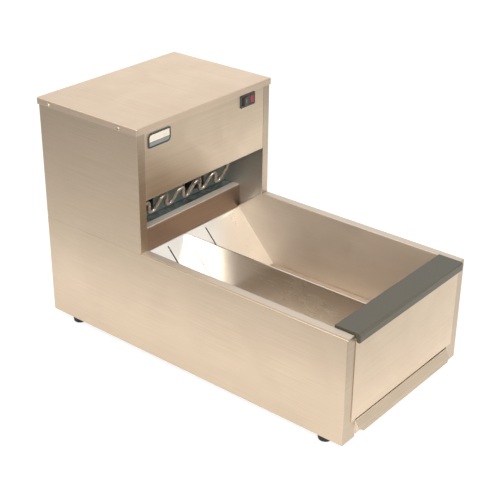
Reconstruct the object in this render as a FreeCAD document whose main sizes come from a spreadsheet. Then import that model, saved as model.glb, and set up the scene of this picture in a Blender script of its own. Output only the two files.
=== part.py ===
"""Countertop food warmer: an open two-bin trough in bent stainless sheet, with a blower tower at its back.

Row frame in millimetres: +Z up, the trough's front faces -Y, the tower stands at +Y, +X is to the right when
seen from the front. The origin is on the counter, under the middle of the overall box.
"""
import FreeCAD, Part
import math
import os
import re

import Sketcher

Vector = FreeCAD.Vector
document = FreeCAD.newDocument("food_warmer")
sheet = document.addObject("Spreadsheet::Sheet", "dims")

# Driving dimensions: every size that can be set by itself, in millimetres, degrees or a plain count.
SIZES = {
    # whole cabinet
    "cabinet_width": 368,
    "cabinet_length": 708,
    "base_height": 207,
    "tower_height": 240,
    "tower_depth": 252,
    "foot_height": 20,
    # sheet metal
    "sheet_gauge": 1.2,
    "bend_radius": 2.0,
    "fit_gap": 0.3,
    "running_gap": 0.05,
    "overrun": 5,
    "full_round_share": 0.48,
    # base shell
    "jamb_width": 36,
    "rear_flange": 16,
    "rail_flange": 10,
    "pan_setback": 16,
    "pan_flange": 15,
    "panel_play": 1.5,
    # front panel
    "front_panel_inset": 22,
    "pull_slot_height": 36.6,
    "front_panel_return": 10,
    # front ledge
    "ledge_inset": 22,
    "ledge_overhang": 9,
    "ledge_reach": 42,
    "ledge_rise": 3.5,
    "ledge_thick": 10,
    "ledge_lip_height": 17,
    "ledge_lip_thick": 7,
    "ledge_round": 4.5,
    # well
    "rail_width": 18,
    "well_floor_height": 59,
    "well_flange": 10,
    "rail_set_in": 3,
    "front_wall_setback": 38,
    # ramp and return panel
    "ramp_set_back": 62,
    "ramp_drop": 45,
    "ramp_angle": 47,
    "ramp_hem": 12,
    "ramp_foot": 12,
    "slit_width": 3,
    "slit_margin": 10,
    "slit_length": 78,
    "return_flange": 16,
    "return_hem": 4,
    # perforated floor
    "floor_gap": 1.0,
    "slot_width": 4,
    "slot_share": 0.75,
    "slot_columns": 11,
    "slot_column_end": 26.3,
    "slot_rows": 8,
    "first_slot_row": 52,
    "slot_row_end": 16,
    "finger_hole_radius": 10,
    # divider
    "divider_height": 100,
    "divider_front_gap": 2,
    "divider_end_gap": 5,
    "divider_top_gap": 5,
    "divider_hem": 8,
    "divider_corner": 10,
    "tab_end_gap": 5,
    "divider_tab_depth": 2.4,
    # crumb tray
    "tray_inset": 40,
    "tray_overlap": 8,
    "tray_gauge": 1.0,
    "tray_setback": 2,
    "tray_corner": 5,
    "tray_top_gap": 2.6,
    "tray_travel_clearance": 0.5,
    "runner_flange": 10,
    "runner_lip": 5,
    "pull_reach": 12,
    "pull_drop": 22,
    "pull_end_gap": 1.5,
    "pull_corner_width": 9,
    "pull_corner_height": 6,
    # feet
    "foot_inset_end": 50,
    "foot_inset_side": 23,
    "foot_radius": 14.5,
    "foot_toe_radius": 12.5,
    "foot_toe_round": 2.5,
    "foot_bore_radius": 5,
    "foot_bore_depth": 12,
    "foot_screw_radius": 2.5,
    "foot_screw_head_radius": 4.5,
    "foot_screw_head_height": 3,
    "nut_radius": 4.6,
    "nut_height": 4,
    # tower
    "tower_jamb": 18,
    "mouth_height": 98,
    "control_seam": 0.5,
    "control_return": 14,
    "skirt_height": 12.8,
    "cover_clearance": 0.8,
    "backing_strip_width": 18,
    # cover and panel screws
    "screw_head_radius": 3.6,
    "screw_head_height": 2.0,
    "screw_head_round": 1.4,
    "screw_shank_radius": 1.9,
    "screw_shank_length": 6,
    "screw_recess_arm": 1.9,
    "screw_recess_web": 0.45,
    "cover_screw_drop": 8.6,
    "cover_screw_front": 42,
    "cover_screw_rear": 30,
    "panel_screw_inset": 8,
    "panel_screw_end": 25,
    # rocker switch
    "switch_inset": 68,
    "switch_drop": 27,
    "bezel_width": 43,
    "bezel_height": 25,
    "bezel_proud": 2,
    "bezel_round": 2,
    "switch_body_width": 37,
    "switch_body_height": 21,
    "switch_body_depth": 24,
    "switch_wall": 1.6,
    "rocker_gap": 0.5,
    "rocker_tilt": 8,
    "rocker_crest": 4.5,
    "rocker_skirt": 5,
    "rocker_pin_radius": 1.25,
    "rocker_pin_set_back": 3,
    "rocker_boss_radius": 3.2,
    "boss_round_share": 0.8,
    "spade_width": 6.3,
    "spade_thick": 0.8,
    "spade_length": 8,
    "spade_spacing": 9,
    # badge plate
    "badge_inset": 56,
    "badge_drop": 31,
    "badge_width": 57,
    "badge_height": 27,
    "badge_thick": 1.5,
    "badge_rim": 2,
    "badge_recess": 0.5,
    "badge_large_round": 9,
    "badge_small_round": 3,
    # duct
    "duct_inset": 13,
    "duct_flange": 8,
    "blower_panel_set_back": 101,
    "panel_flange": 12,
    # heating element
    "tube_radius": 4.2,
    "wave_end_gap": 34.9,
    "wave_count": 6,
    "wave_bend_radius": 9,
    "wave_splay": 20,
    "element_lean": 22,
    "element_set_back": 81,
    "element_rise": 20,
    "cold_end_length": 70,
    "roof_hole_radius": 8,
    "hanger_width": 18,
    "terminal_radius": 6.5,
    "terminal_length": 8,
    "terminal_pin_radius": 2,
    "terminal_pin_length": 7,
    # blower
    "wheel_radius": 54,
    "wheel_width": 46,
    "wheel_side_gap": 6,
    "blade_count": 24,
    "blade_depth": 10,
    "blade_lean": 6,
    "blade_thick": 1.0,
    "blade_curve": 8,
    "wheel_hub_radius": 9,
    "wheel_hub_length": 20,
    "blower_offset": 44,
    "blower_width": 60,
    "blower_rear_clearance": 5,
    "scroll_front": 60,
    "scroll_top": 65,
    "scroll_rear": 74,
    "scroll_bottom": 84,
    "scroll_floor_gap": 10,
    "scroll_round_share": 0.96,
    "neck_height": 66,
    "inlet_radius": 38,
    "shaft_hole_radius": 12,
    "neck_flange": 7,
    "shaft_radius": 4,
    "shaft_overhang": 4,
    # motor
    "motor_radius": 40,
    "motor_length": 62,
    "motor_round": 8,
    "bell_radius": 16,
    "bell_length": 6,
    "bush_radius": 8,
    "bush_length": 10,
    "pedestal_gauge": 2,
    "pedestal_width": 44,
    "pedestal_foot": 14,
    "saddle_share": 0.75,
    # deck openings
    "riser_inset": 18,
    "riser_width": 52,
    "riser_length": 96,
    "riser_rear_gap": 14,
    # electrics
    "thermostat_radius": 8,
    "thermostat_height": 9,
    "thermostat_plate_radius": 12,
    "thermostat_offset": 60,
    "block_length": 66,
    "block_depth": 22,
    "block_height": 20,
    "block_ways": 5,
    "block_rib": 2,
    "block_step": 9,
    "inlet_inset": 54,
    "inlet_rise": 120,
    "inlet_flange_width": 50,
    "inlet_flange_height": 31,
    "inlet_body_width": 33,
    "inlet_body_height": 25,
    "inlet_body_depth": 24,
    "inlet_proud": 2,
    "inlet_cavity_width": 25,
    "inlet_cavity_height": 17,
    "inlet_cavity_depth": 18,
    "inlet_pin_thick": 2,
    "inlet_pin_height": 4,
    "inlet_pin_pitch": 7,
    "inlet_pin_length": 15,
    "vent_count": 9,
    "vent_pitch": 14,
    "vent_width": 4,
    "vent_height": 34,
    "vent_drop": 30,
}

# Places that follow from the driving dimensions, as formulas in the same sheet.
PLACES = {
    "half_width": "cabinet_width / 2",
    "front": "-(cabinet_length + cover_clearance + sheet_gauge - pull_reach) / 2",
    "rear": "front + cabinet_length",
    "tower_front": "rear - tower_depth",
    "rail_top": "foot_height + base_height",
    "cover_top": "rail_top + tower_height",
    "cover_under": "cover_top - sheet_gauge",
    "skirt_bottom": "cover_top - skirt_height",
    "seam_height": "rail_top - sheet_gauge",
    "ledge_top": "rail_top + ledge_rise",
    "ledge_under": "ledge_top - ledge_thick",
    "floor_rest": "foot_height + well_floor_height",
    "floor_top": "floor_rest + sheet_gauge",
    "divider_top": "floor_top + divider_height",
    "mouth_top": "rail_top + mouth_height",
    "roof_under": "mouth_top + sheet_gauge",
    "roof_top": "roof_under + sheet_gauge",
    "ramp_top_y": "tower_front + ramp_set_back",
    "ramp_top_z": "rail_top - ramp_drop",
    "ramp_run": "(ramp_top_z - floor_rest) / tan(ramp_angle)",
    "ramp_foot_y": "ramp_top_y - ramp_run",
    "front_panel_width": "cabinet_width - 2 * front_panel_inset",
    "ledge_width": "cabinet_width - 2 * ledge_inset",
    "well_width": "cabinet_width - 2 * rail_width",
    "wall_inner": "well_width / 2 - sheet_gauge",
    "floor_front": "front + ledge_reach + floor_gap",
    "floor_rear": "ramp_foot_y - floor_gap",
    "slot_stretch": "floor_rear - floor_front - first_slot_row - slot_row_end",
    "slot_row_pitch": "slot_stretch / (slot_rows - 1 + slot_share)",
    "slot_length": "slot_row_pitch * slot_share",
    "slot_column_pitch": "2 * (wall_inner - floor_gap - slot_column_end) / (slot_columns - 1)",
    "slit_spacing": "2 * slot_column_pitch",
    "divider_tab": "slot_length - 2 * tab_end_gap",
    "tray_width": "cabinet_width - 2 * tray_inset",
    "tray_front": "front + tray_setback",
    "tray_length": "ramp_foot_y + tray_overlap - tray_front",
    "pull_width": "cabinet_width - 2 * (jamb_width + pull_end_gap)",
    "tray_bottom": "foot_height + sheet_gauge + fit_gap",
    "tray_top": "foot_height + pull_slot_height - tray_top_gap",
    "duct_width": "cabinet_width - 2 * duct_inset",
    "wave_reach": "duct_width / 2 - wave_end_gap - wave_bend_radius",
    "wave_pitch": "2 * (wave_reach + 2 * wave_bend_radius * cos(wave_splay)) / wave_count",
    "blower_panel_y": "tower_front + blower_panel_set_back",
    "scroll_y": "rear - 2 * sheet_gauge - blower_rear_clearance - scroll_rear",
    "scroll_z": "rail_top + scroll_floor_gap + scroll_bottom",
    "neck_bottom": "scroll_z - scroll_bottom",
    "neck_top": "neck_bottom + neck_height",
    "switch_offset": "half_width - switch_inset",
    "switch_z": "cover_top - switch_drop",
    "switch_plane": "tower_front - bezel_proud",
    "rocker_pivot_y": "tower_front + rocker_pin_set_back",
    "badge_offset": "half_width - badge_inset",
    "badge_z": "cover_top - badge_drop",
    "inlet_offset": "half_width - inlet_inset",
    "deck_front": "ramp_top_y + ramp_hem",
    "shell_inner": "half_width - sheet_gauge",
}

cells = list(SIZES.items()) + [(name, "=" + formula) for name, formula in PLACES.items()]
for row, (name, content) in enumerate(cells, start=1):
    sheet.set("A%d" % row, name)
    sheet.set("B%d" % row, str(content))
    sheet.setAlias("B%d" % row, name)
document.recompute()

KNOWN = dict(cells)
WORD = re.compile(r"[a-z][a-z_]*")
tiny = 1e-4
quarter_turn = 90
full_turn = 4 * quarter_turn
nodes = []
cutting_features = []


def bind(text):
    """A size formula in plain words, with each word tied to its cell in the sheet."""
    return WORD.sub(lambda word: "dims." + word.group() if word.group() in KNOWN else word.group(), text)


def number(text):
    """What a size formula is worth now."""
    return float(sheet.evalExpression(bind(text)))


def minus(text):
    return "-(%s)" % text


def between(low, high):
    """The pair (start, length) of a stretch from low to high."""
    return low, "(%s) - (%s)" % (high, low)


# Sketches: each corner is tied to the sheet, and a corner with a third value is rounded to that radius.
def add_loop(sketch, corners):
    count = len(corners)
    places = [Vector(number(corner[0]), number(corner[1]), 0) for corner in corners]
    entries = []
    exits = []
    for index, corner in enumerate(corners):
        here = places[index]
        if len(corner) < 3:
            entries.append(here)
            exits.append(here)
            continue
        into = (here - places[index - 1]).normalize()
        out = (places[(index + 1) % count] - here).normalize()
        reach = number(corner[2]) * math.tan(into.getAngle(out) / 2)
        entries.append(here - into * reach)
        exits.append(here + out * reach)
    rules = []
    bound = []
    sides = []
    for index in range(count):
        start = exits[index]
        end = entries[(index + 1) % count]
        sides.append(sketch.addGeometry(Part.LineSegment(start, end), False))
    for index, corner in enumerate(corners):
        before = sides[index - 1]
        after = sides[index]
        if len(corner) < 3:
            rules.append(Sketcher.Constraint("Coincident", before, 2, after, 1))
            anchor = (after, 1)
        else:
            radius = number(corner[2])
            entry = entries[index]
            leave = exits[index]
            chord = (entry + leave) * 0.5
            inward = (chord - places[index]).normalize()
            reach = (entry - places[index]).Length
            to_centre = (reach * reach + radius * radius) ** 0.5
            middle = places[index] + inward * (to_centre - radius)
            arc = sketch.addGeometry(Part.Arc(entry, middle, leave), False)
            first = sketch.getPoint(arc, 1)
            entry_end = 1 if (first - entry).Length < (first - leave).Length else 2
            rules.append(Sketcher.Constraint("Tangent", before, 2, arc, entry_end))
            rules.append(Sketcher.Constraint("Tangent", after, 1, arc, 3 - entry_end))
            point = sketch.addGeometry(Part.Point(places[index]), True)
            rules.append(Sketcher.Constraint("PointOnObject", point, 1, before))
            rules.append(Sketcher.Constraint("PointOnObject", point, 1, after))
            bound.append((len(rules), corner[2]))
            rules.append(Sketcher.Constraint("Radius", arc, radius))
            anchor = (point, 1)
        bound.append((len(rules), corner[0]))
        rules.append(Sketcher.Constraint("DistanceX", -1, 1, anchor[0], anchor[1], places[index].x))
        bound.append((len(rules), corner[1]))
        rules.append(Sketcher.Constraint("DistanceY", -1, 1, anchor[0], anchor[1], places[index].y))
    tie(sketch, rules, bound)


def add_circle(sketch, x, y, radius):
    centre = Vector(number(x), number(y), 0)
    ring = sketch.addGeometry(Part.Circle(centre, Vector(0, 0, 1), number(radius)), False)
    rules = [
        Sketcher.Constraint("DistanceX", -1, 1, ring, 3, centre.x),
        Sketcher.Constraint("DistanceY", -1, 1, ring, 3, centre.y),
        Sketcher.Constraint("Radius", ring, number(radius)),
    ]
    tie(sketch, rules, [(0, x), (1, y), (2, radius)])


def tie(sketch, rules, bound):
    """Adds the constraints and binds the numbered ones to the sheet."""
    offset = sketch.ConstraintCount
    sketch.addConstraint(rules)
    for place, formula in bound:
        sketch.setExpression("Constraints[%d]" % (offset + place), bind(formula))


def add_sketch(body, plane, level, loops, circles):
    sketch = body.newObject("Sketcher::SketchObject", body.Name + "_sketch")
    sketch.AttachmentSupport = [([item for item in body.Origin.OriginFeatures if item.Role == plane][0], "")]
    sketch.MapMode = "FlatFace"
    # the normal of the XZ plane points to -Y, so its level is counted the other way
    sketch.setExpression("AttachmentOffset.Base.z", bind(minus(level) if plane == "XZ_Plane" else level))
    for loop in loops:
        add_loop(sketch, loop)
    for circle in circles:
        add_circle(sketch, *circle)
    return sketch


def new_body(label):
    body = document.addObject("PartDesign::Body", label)
    body.Label = label
    nodes.append(body)
    return body


def pad(body, plane, stretch, *loops, circles=()):
    """Adds material from stretch[0] over stretch[1], along the plane's world axis."""
    sketch = add_sketch(body, plane, stretch[0], loops, circles)
    feature = body.newObject("PartDesign::Pad", body.Name + "_pad")
    feature.Profile = sketch
    feature.setExpression("Length", bind(stretch[1]))
    feature.Reversed = plane == "XZ_Plane"
    return feature


def cut(body, plane, stretch, *loops, circles=()):
    """Takes material away from stretch[0] over stretch[1], along the plane's world axis."""
    sketch = add_sketch(body, plane, stretch[0], loops, circles)
    feature = body.newObject("PartDesign::Pocket", body.Name + "_pocket")
    feature.Profile = sketch
    feature.setExpression("Length", bind(stretch[1]))
    feature.Reversed = plane != "XZ_Plane"
    cutting_features.append(feature)
    return feature


def turn(body, plane, axis, *loops):
    """Revolves an outline about one of the sketch's own axes."""
    sketch = add_sketch(body, plane, "0", loops, ())
    feature = body.newObject("PartDesign::Revolution", body.Name + "_turned")
    feature.Profile = sketch
    feature.ReferenceAxis = (sketch, [axis])
    feature.Angle = full_turn
    return feature


def round_edges(body, radius, chosen):
    """Fillets the edges of the body so far that the test picks by their shape."""
    document.recompute()
    base = body.Tip
    names = ["Edge%d" % (index + 1) for index, edge in enumerate(base.Shape.Edges) if chosen(edge)]
    feature = body.newObject("PartDesign::Fillet", body.Name + "_fillet")
    feature.Base = (base, names)
    feature.setExpression("Radius", bind(radius))
    return feature


def rectangle(x_low, x_high, y_low, y_high, *radius):
    corners = (x_low, y_low), (x_high, y_low), (x_high, y_high), (x_low, y_high)
    return [corner + radius for corner in corners]


def centred(x, width, y, height, *radius):
    return rectangle("%s - %s / 2" % (x, width), "%s + %s / 2" % (x, width),
                     "%s - %s / 2" % (y, height), "%s + %s / 2" % (y, height), *radius)


def place(thing, x, y, z):
    thing.setExpression("Placement.Base.x", bind(x))
    thing.setExpression("Placement.Base.y", bind(y))
    thing.setExpression("Placement.Base.z", bind(z))


def group(label, pattern, spots):
    """One node of identical pieces: each spot is (x, y, z) with an optional turn (axis, degrees)."""
    links = []
    for index, spot in enumerate(spots):
        link = document.addObject("App::Link", "%s_%d" % (label, index))
        link.LinkedObject = pattern
        if len(spot) > 3:
            link.Placement = FreeCAD.Placement(Vector(), FreeCAD.Rotation(spot[3], spot[4]))
        place(link, *spot[:3])
        links.append(link)
    node = document.addObject("Part::Compound", label)
    node.Label = label
    node.Links = links
    nodes.append(node)
    return node


def pattern_body(name):
    """A body that is only copied into a group, not written by itself."""
    body = document.addObject("PartDesign::Body", name)
    body.Label = name
    return body


SIDES = {"left": "-1", "right": "1"}


# Shell sides: one sheet bent to a front jamb and a rear flange, standing on its lower edge
def shell_side(label, side, jamb, stretch):
    body = new_body(label)
    outer = side + " * half_width"
    inner = side + " * shell_inner"
    jamb_edge = "%s * (half_width - %s)" % (side, jamb)
    rear_edge = side + " * (half_width - rear_flange)"
    front_face = "front" if jamb == "jamb_width" else "tower_front"
    pad(body, "XY_Plane", stretch, [
        (jamb_edge, front_face),
        (outer, front_face, "bend_radius"),
        (outer, "rear - sheet_gauge", "bend_radius"),
        (rear_edge, "rear - sheet_gauge"),
        (rear_edge, "rear - 2 * sheet_gauge"),
        (inner, "rear - 2 * sheet_gauge", "bend_radius - sheet_gauge"),
        (inner, front_face + " + sheet_gauge", "bend_radius - sheet_gauge"),
        (jamb_edge, front_face + " + sheet_gauge"),
    ])
    return body


def base_side(name, side):
    body = shell_side("base_side_" + name, side, "jamb_width", between("foot_height", "seam_height"))
    # top flange that carries the rail strip, the deck and the tower side
    pad(body, "XY_Plane", between("seam_height - sheet_gauge", "seam_height"), rectangle(
        side + " * (half_width - rail_flange)", side + " * (half_width - sheet_gauge / 2)",
        "front + sheet_gauge / 2", "rear - sheet_gauge - sheet_gauge / 2"))
    round_edges(body, "bend_radius", lambda edge: edge.BoundBox.XLength < tiny
                and edge.BoundBox.ZLength < tiny
                and abs(abs(edge.BoundBox.XMin) - number("half_width")) < tiny
                and abs(edge.BoundBox.ZMin - number("seam_height")) < tiny)
    # the jamb steps down where the ledge passes over it
    cut(body, "XZ_Plane", between("front - overrun", "front + sheet_gauge"), rectangle(
        side + " * (half_width - jamb_width - overrun)", side + " * wall_inner",
        "ledge_under - sheet_gauge", "rail_top + overrun"))


for name, side in SIDES.items():
    base_side(name, side)


# Floor pan: the base's underside, with flanges up inside both side panels
body = new_body("base_floor_pan")
pad(body, "XZ_Plane", between("front + pan_setback", "rear - sheet_gauge - bend_radius"), [
    ("-shell_inner", "foot_height", "bend_radius"),
    ("shell_inner", "foot_height", "bend_radius"),
    ("shell_inner", "foot_height + pan_flange"),
    ("shell_inner - sheet_gauge", "foot_height + pan_flange"),
    ("shell_inner - sheet_gauge", "foot_height + sheet_gauge", "bend_radius - sheet_gauge"),
    ("-(shell_inner - sheet_gauge)", "foot_height + sheet_gauge", "bend_radius - sheet_gauge"),
    ("-(shell_inner - sheet_gauge)", "foot_height + pan_flange"),
    ("-shell_inner", "foot_height + pan_flange"),
])
foot_spots = [(side + " * (half_width - foot_inset_side)", end)
              for side in SIDES.values() for end in ("front + foot_inset_end", "rear - foot_inset_end")]
cut(body, "XY_Plane", between("foot_height - overrun", "foot_height + overrun"),
    circles=[(x, y, "foot_screw_radius") for x, y in foot_spots])


# Rear panels: flat sheets over the rear flanges of the side panels
def rear_panel(label, bottom, top, screw_heights):
    body = new_body(label)
    pad(body, "XZ_Plane", between("rear - sheet_gauge", "rear"), rectangle(
        "-(half_width - panel_play)", "half_width - panel_play", bottom, top, "bend_radius"))
    holes = [(side + " * (half_width - panel_screw_inset)", height, "screw_shank_radius")
             for side in SIDES.values() for height in screw_heights]
    cut(body, "XZ_Plane", between("rear - overrun", "rear + overrun"), circles=holes)
    return body


BASE_SCREW_HEIGHTS = ("foot_height + panel_screw_end", "seam_height - panel_screw_end")
TOWER_SCREW_HEIGHTS = ("seam_height + panel_screw_end", "skirt_bottom - panel_screw_end")
body = rear_panel("base_rear_panel", "foot_height", "seam_height - panel_play", BASE_SCREW_HEIGHTS)
cut(body, "XZ_Plane", between("rear - overrun", "rear + overrun"), centred(
    "inlet_offset", "inlet_body_width", "(foot_height + inlet_rise)", "inlet_body_height"))

body = rear_panel("tower_rear_panel", "seam_height", "cover_under - fit_gap", TOWER_SCREW_HEIGHTS)
vents = ["(%d - (vent_count - 1) / 2) * vent_pitch" % index for index in range(int(number("vent_count")))]
cut(body, "XZ_Plane", between("rear - overrun", "rear + overrun"), *[
    centred(x, "vent_width", "(skirt_bottom - vent_drop)", "vent_height", "vent_width * full_round_share")
    for x in vents])


# Front panel: lies over the jambs, with a return bent back along its lower edge
body = new_body("front_panel")
pad(body, "XZ_Plane", between("front - sheet_gauge", "front"), rectangle(
    "-front_panel_width / 2", "front_panel_width / 2", "foot_height + pull_slot_height",
    "ledge_under - fit_gap"))
pad(body, "XY_Plane", ("foot_height + pull_slot_height", "sheet_gauge"), rectangle(
    "-(half_width - jamb_width - fit_gap)", "half_width - jamb_width - fit_gap",
    "front - sheet_gauge / 2", "front + front_panel_return"))
round_edges(body, "bend_radius / 2", lambda edge: edge.BoundBox.YLength < tiny
            and edge.BoundBox.ZLength < tiny
            and abs(edge.BoundBox.YMin - number("front - sheet_gauge")) < tiny
            and abs(edge.BoundBox.ZMin - number("foot_height + pull_slot_height")) < tiny)


# Front ledge: a moulded dark bar with a rounded nose and a lip over the front panel
body = new_body("front_ledge")
pad(body, "YZ_Plane", ("-ledge_width / 2", "ledge_width"), [
    ("front - ledge_overhang", "ledge_top", "ledge_round"),
    ("front + ledge_reach", "ledge_top", "ledge_round / 2"),
    ("front + ledge_reach", "ledge_under", "ledge_round / 3"),
    ("front - ledge_overhang + ledge_lip_thick", "ledge_under"),
    ("front - ledge_overhang + ledge_lip_thick", "ledge_top - ledge_lip_height", "ledge_round / 3"),
    ("front - ledge_overhang", "ledge_top - ledge_lip_height", "ledge_round / 2"),
])


# Well: two sides with the light rail strips, the front wall, the ramp and the perforated floor
def well_side(name, side):
    body = new_body("well_side_" + name)
    outer = side + " * well_width / 2"
    inner = side + " * wall_inner"
    wall = (inner, "sheet_gauge") if side == "1" else (outer, "sheet_gauge")
    pad(body, "YZ_Plane", wall, [
        ("front + sheet_gauge", "floor_rest - sheet_gauge"),
        ("ramp_foot_y + ramp_foot", "floor_rest - sheet_gauge"),
        ("ramp_top_y", "ramp_top_z - ramp_hem"),
        ("ramp_top_y", "ramp_top_z"),
        ("tower_front", "rail_top"),
        ("front + sheet_gauge", "rail_top"),
    ])
    pad(body, "XY_Plane", between("rail_top - sheet_gauge", "rail_top"), rectangle(
        side + " * (wall_inner + sheet_gauge / 2)", side + " * (half_width - rail_set_in)",
        "front + sheet_gauge", "tower_front - fit_gap"))
    pad(body, "XY_Plane", between("floor_rest - sheet_gauge", "floor_rest"), rectangle(
        side + " * (well_width / 2 - well_flange)", side + " * (wall_inner + sheet_gauge / 2)",
        "front + front_wall_setback + sheet_gauge + well_flange + fit_gap",
        "ramp_foot_y - ramp_foot - fit_gap"))
    round_edges(body, "bend_radius / 2", lambda edge: edge.BoundBox.XLength < tiny
                and edge.BoundBox.ZLength < tiny
                and abs(abs(edge.BoundBox.XMin) - number("wall_inner")) < tiny
                and abs(edge.BoundBox.ZMin - number("rail_top")) < tiny)


for name, side in SIDES.items():
    well_side(name, side)

body = new_body("well_front_wall")
pad(body, "YZ_Plane", ("-wall_inner", "2 * wall_inner"), [
    ("front", "ledge_under"),
    ("front + front_wall_setback + sheet_gauge", "ledge_under", "bend_radius"),
    ("front + front_wall_setback + sheet_gauge", "floor_rest", "bend_radius - sheet_gauge"),
    ("front + front_wall_setback + sheet_gauge + well_flange", "floor_rest"),
    ("front + front_wall_setback + sheet_gauge + well_flange", "floor_rest - sheet_gauge"),
    ("front + front_wall_setback", "floor_rest - sheet_gauge", "bend_radius"),
    ("front + front_wall_setback", "ledge_under - sheet_gauge", "bend_radius - sheet_gauge"),
    ("front", "ledge_under - sheet_gauge"),
])

body = new_body("ramp_plate")
pad(body, "YZ_Plane", ("-wall_inner", "2 * wall_inner"), [
    ("ramp_foot_y - ramp_foot", "floor_rest"),
    ("ramp_foot_y", "floor_rest", "bend_radius - sheet_gauge"),
    ("ramp_top_y + sheet_gauge", "ramp_top_z + sheet_gauge * tan(ramp_angle)", "bend_radius"),
    ("ramp_top_y + sheet_gauge", "ramp_top_z - ramp_hem"),
    ("ramp_top_y", "ramp_top_z - ramp_hem"),
    ("ramp_top_y", "ramp_top_z - sheet_gauge / cos(ramp_angle)", "bend_radius - sheet_gauge"),
    ("ramp_foot_y + sheet_gauge * tan(ramp_angle / 2)", "floor_rest - sheet_gauge", "bend_radius"),
    ("ramp_foot_y - ramp_foot", "floor_rest - sheet_gauge"),
])
slit_rear = "ramp_top_y - slit_margin * cos(ramp_angle)"
slit_front = "ramp_top_y - (slit_margin + slit_length) * cos(ramp_angle)"
cut(body, "XY_Plane", between("floor_rest - overrun", "ramp_top_z"), *[
    rectangle("%s * slit_spacing - slit_width / 2" % step, "%s * slit_spacing + slit_width / 2" % step,
              slit_front, slit_rear) for step in ("-1", "0", "1")])

body = new_body("return_panel")
pad(body, "YZ_Plane", ("-(duct_width / 2 - fit_gap)", "duct_width - 2 * fit_gap"), [
    ("ramp_top_y + sheet_gauge", "ramp_top_z - ramp_hem"),
    ("ramp_top_y + sheet_gauge", "rail_top + sheet_gauge", "bend_radius"),
    ("ramp_top_y + return_flange + 2 * sheet_gauge", "rail_top + sheet_gauge"),
    ("ramp_top_y + return_flange + 2 * sheet_gauge", "rail_top"),
    ("ramp_top_y + 2 * sheet_gauge", "rail_top", "bend_radius - sheet_gauge"),
    ("ramp_top_y + 2 * sheet_gauge", "ramp_top_z - ramp_hem"),
])

body = new_body("perforated_floor")
pad(body, "XY_Plane", between("floor_rest", "floor_top"), rectangle(
    "-(wall_inner - floor_gap)", "wall_inner - floor_gap", "floor_front", "floor_rear", "bend_radius"))
cut(body, "XY_Plane", between("floor_rest - overrun", "floor_top + overrun"), circles=[
    (step + " * 2 * slit_spacing", "floor_front + first_slot_row / 2", "finger_hole_radius")
    for step in ("-1", "1")])
slot_columns = ["(%d - (slot_columns - 1) / 2) * slot_column_pitch" % column
                for column in range(int(number("slot_columns")))]
first_row = "floor_front + first_slot_row"
slots = cut(body, "XY_Plane", between("floor_rest - overrun", "floor_top + overrun"), *[
    rectangle(x + " - slot_width / 2", x + " + slot_width / 2", first_row, first_row + " + slot_length")
    for x in slot_columns])
rows = body.newObject("PartDesign::LinearPattern", "slot_rows")
rows.Originals = [slots]
rows.Direction = (slots.Profile[0], ["V_Axis"])
rows.Mode = "Spacing"
rows.setExpression("Offset", bind("slot_row_pitch"))
rows.setExpression("Occurrences", bind("slot_rows"))
body.Tip = rows

# Divider: stands with two tabs in the floor's slots, and its rear edge follows the ramp
body = new_body("divider")
ramp_at_floor = "ramp_foot_y + sheet_gauge / tan(ramp_angle) - divider_end_gap"
ramp_at_top = "ramp_foot_y + (divider_top - floor_rest) / tan(ramp_angle) - divider_top_gap"
divider_front = "front + ledge_reach + divider_front_gap"
pad(body, "YZ_Plane", ("-sheet_gauge / 2", "sheet_gauge"), [
    (divider_front, "floor_top"),
    (ramp_at_floor, "floor_top"),
    (ramp_at_top, "divider_top"),
    (divider_front, "divider_top", "divider_corner"),
])
for row in ("0", "slot_rows - 1"):
    tab_start = "%s + (%s) * slot_row_pitch + (slot_length - divider_tab) / 2" % (first_row, row)
    pad(body, "YZ_Plane", ("-sheet_gauge / 2", "sheet_gauge"), rectangle(
        tab_start, tab_start + " + divider_tab", "floor_top - divider_tab_depth", "floor_top + divider_hem"))
pad(body, "YZ_Plane", ("sheet_gauge / 2", "sheet_gauge"), [
    (divider_front + " + divider_corner", "divider_top - divider_hem"),
    (ramp_at_top + " - divider_hem / tan(ramp_angle)", "divider_top - divider_hem"),
    (ramp_at_top, "divider_top"),
    (divider_front + " + divider_corner", "divider_top"),
])


# Crumb tray and its two runners
body = new_body("crumb_tray")
pad(body, "XY_Plane", between("tray_bottom", "tray_top"), rectangle(
    "-tray_width / 2", "tray_width / 2", "tray_front", "tray_front + tray_length", "tray_corner"))
cut(body, "XY_Plane", between("tray_bottom + tray_gauge", "tray_top + overrun"), rectangle(
    "-(tray_width / 2 - tray_gauge)", "tray_width / 2 - tray_gauge", "tray_front + tray_gauge",
    "tray_front + tray_length - tray_gauge", "tray_corner - tray_gauge"))
pull_slope = "((pull_reach - sheet_gauge) / pull_drop)"
pull_skin = "sheet_gauge * sqrt(1 + %s ^ 2)" % pull_slope
pull_inside = "front - sheet_gauge + %s - sheet_gauge * %s" % (pull_skin, pull_slope)
pad(body, "YZ_Plane", ("-pull_width / 2", "pull_width"), [
    ("tray_front + tray_gauge", "tray_top"),
    ("front - sheet_gauge", "tray_top", "bend_radius"),
    ("front - pull_reach", "tray_top - pull_drop"),
    ("front - pull_reach + " + pull_skin, "tray_top - pull_drop"),
    (pull_inside, "tray_top - sheet_gauge"),
    ("tray_front + tray_gauge", "tray_top - sheet_gauge"),
])
cut(body, "XZ_Plane", between("front - pull_reach - overrun", "front"), *[[
    (side + " * (pull_width / 2 + overrun)", "tray_top - pull_drop - overrun"),
    (side + " * (pull_width / 2 - pull_corner_width)", "tray_top - pull_drop - overrun"),
    (side + " * (pull_width / 2 - pull_corner_width)", "tray_top - pull_drop"),
    (side + " * pull_width / 2", "tray_top - pull_drop + pull_corner_height"),
    (side + " * (pull_width / 2 + overrun)", "tray_top - pull_drop + pull_corner_height"),
] for side in SIDES.values()])


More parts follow.
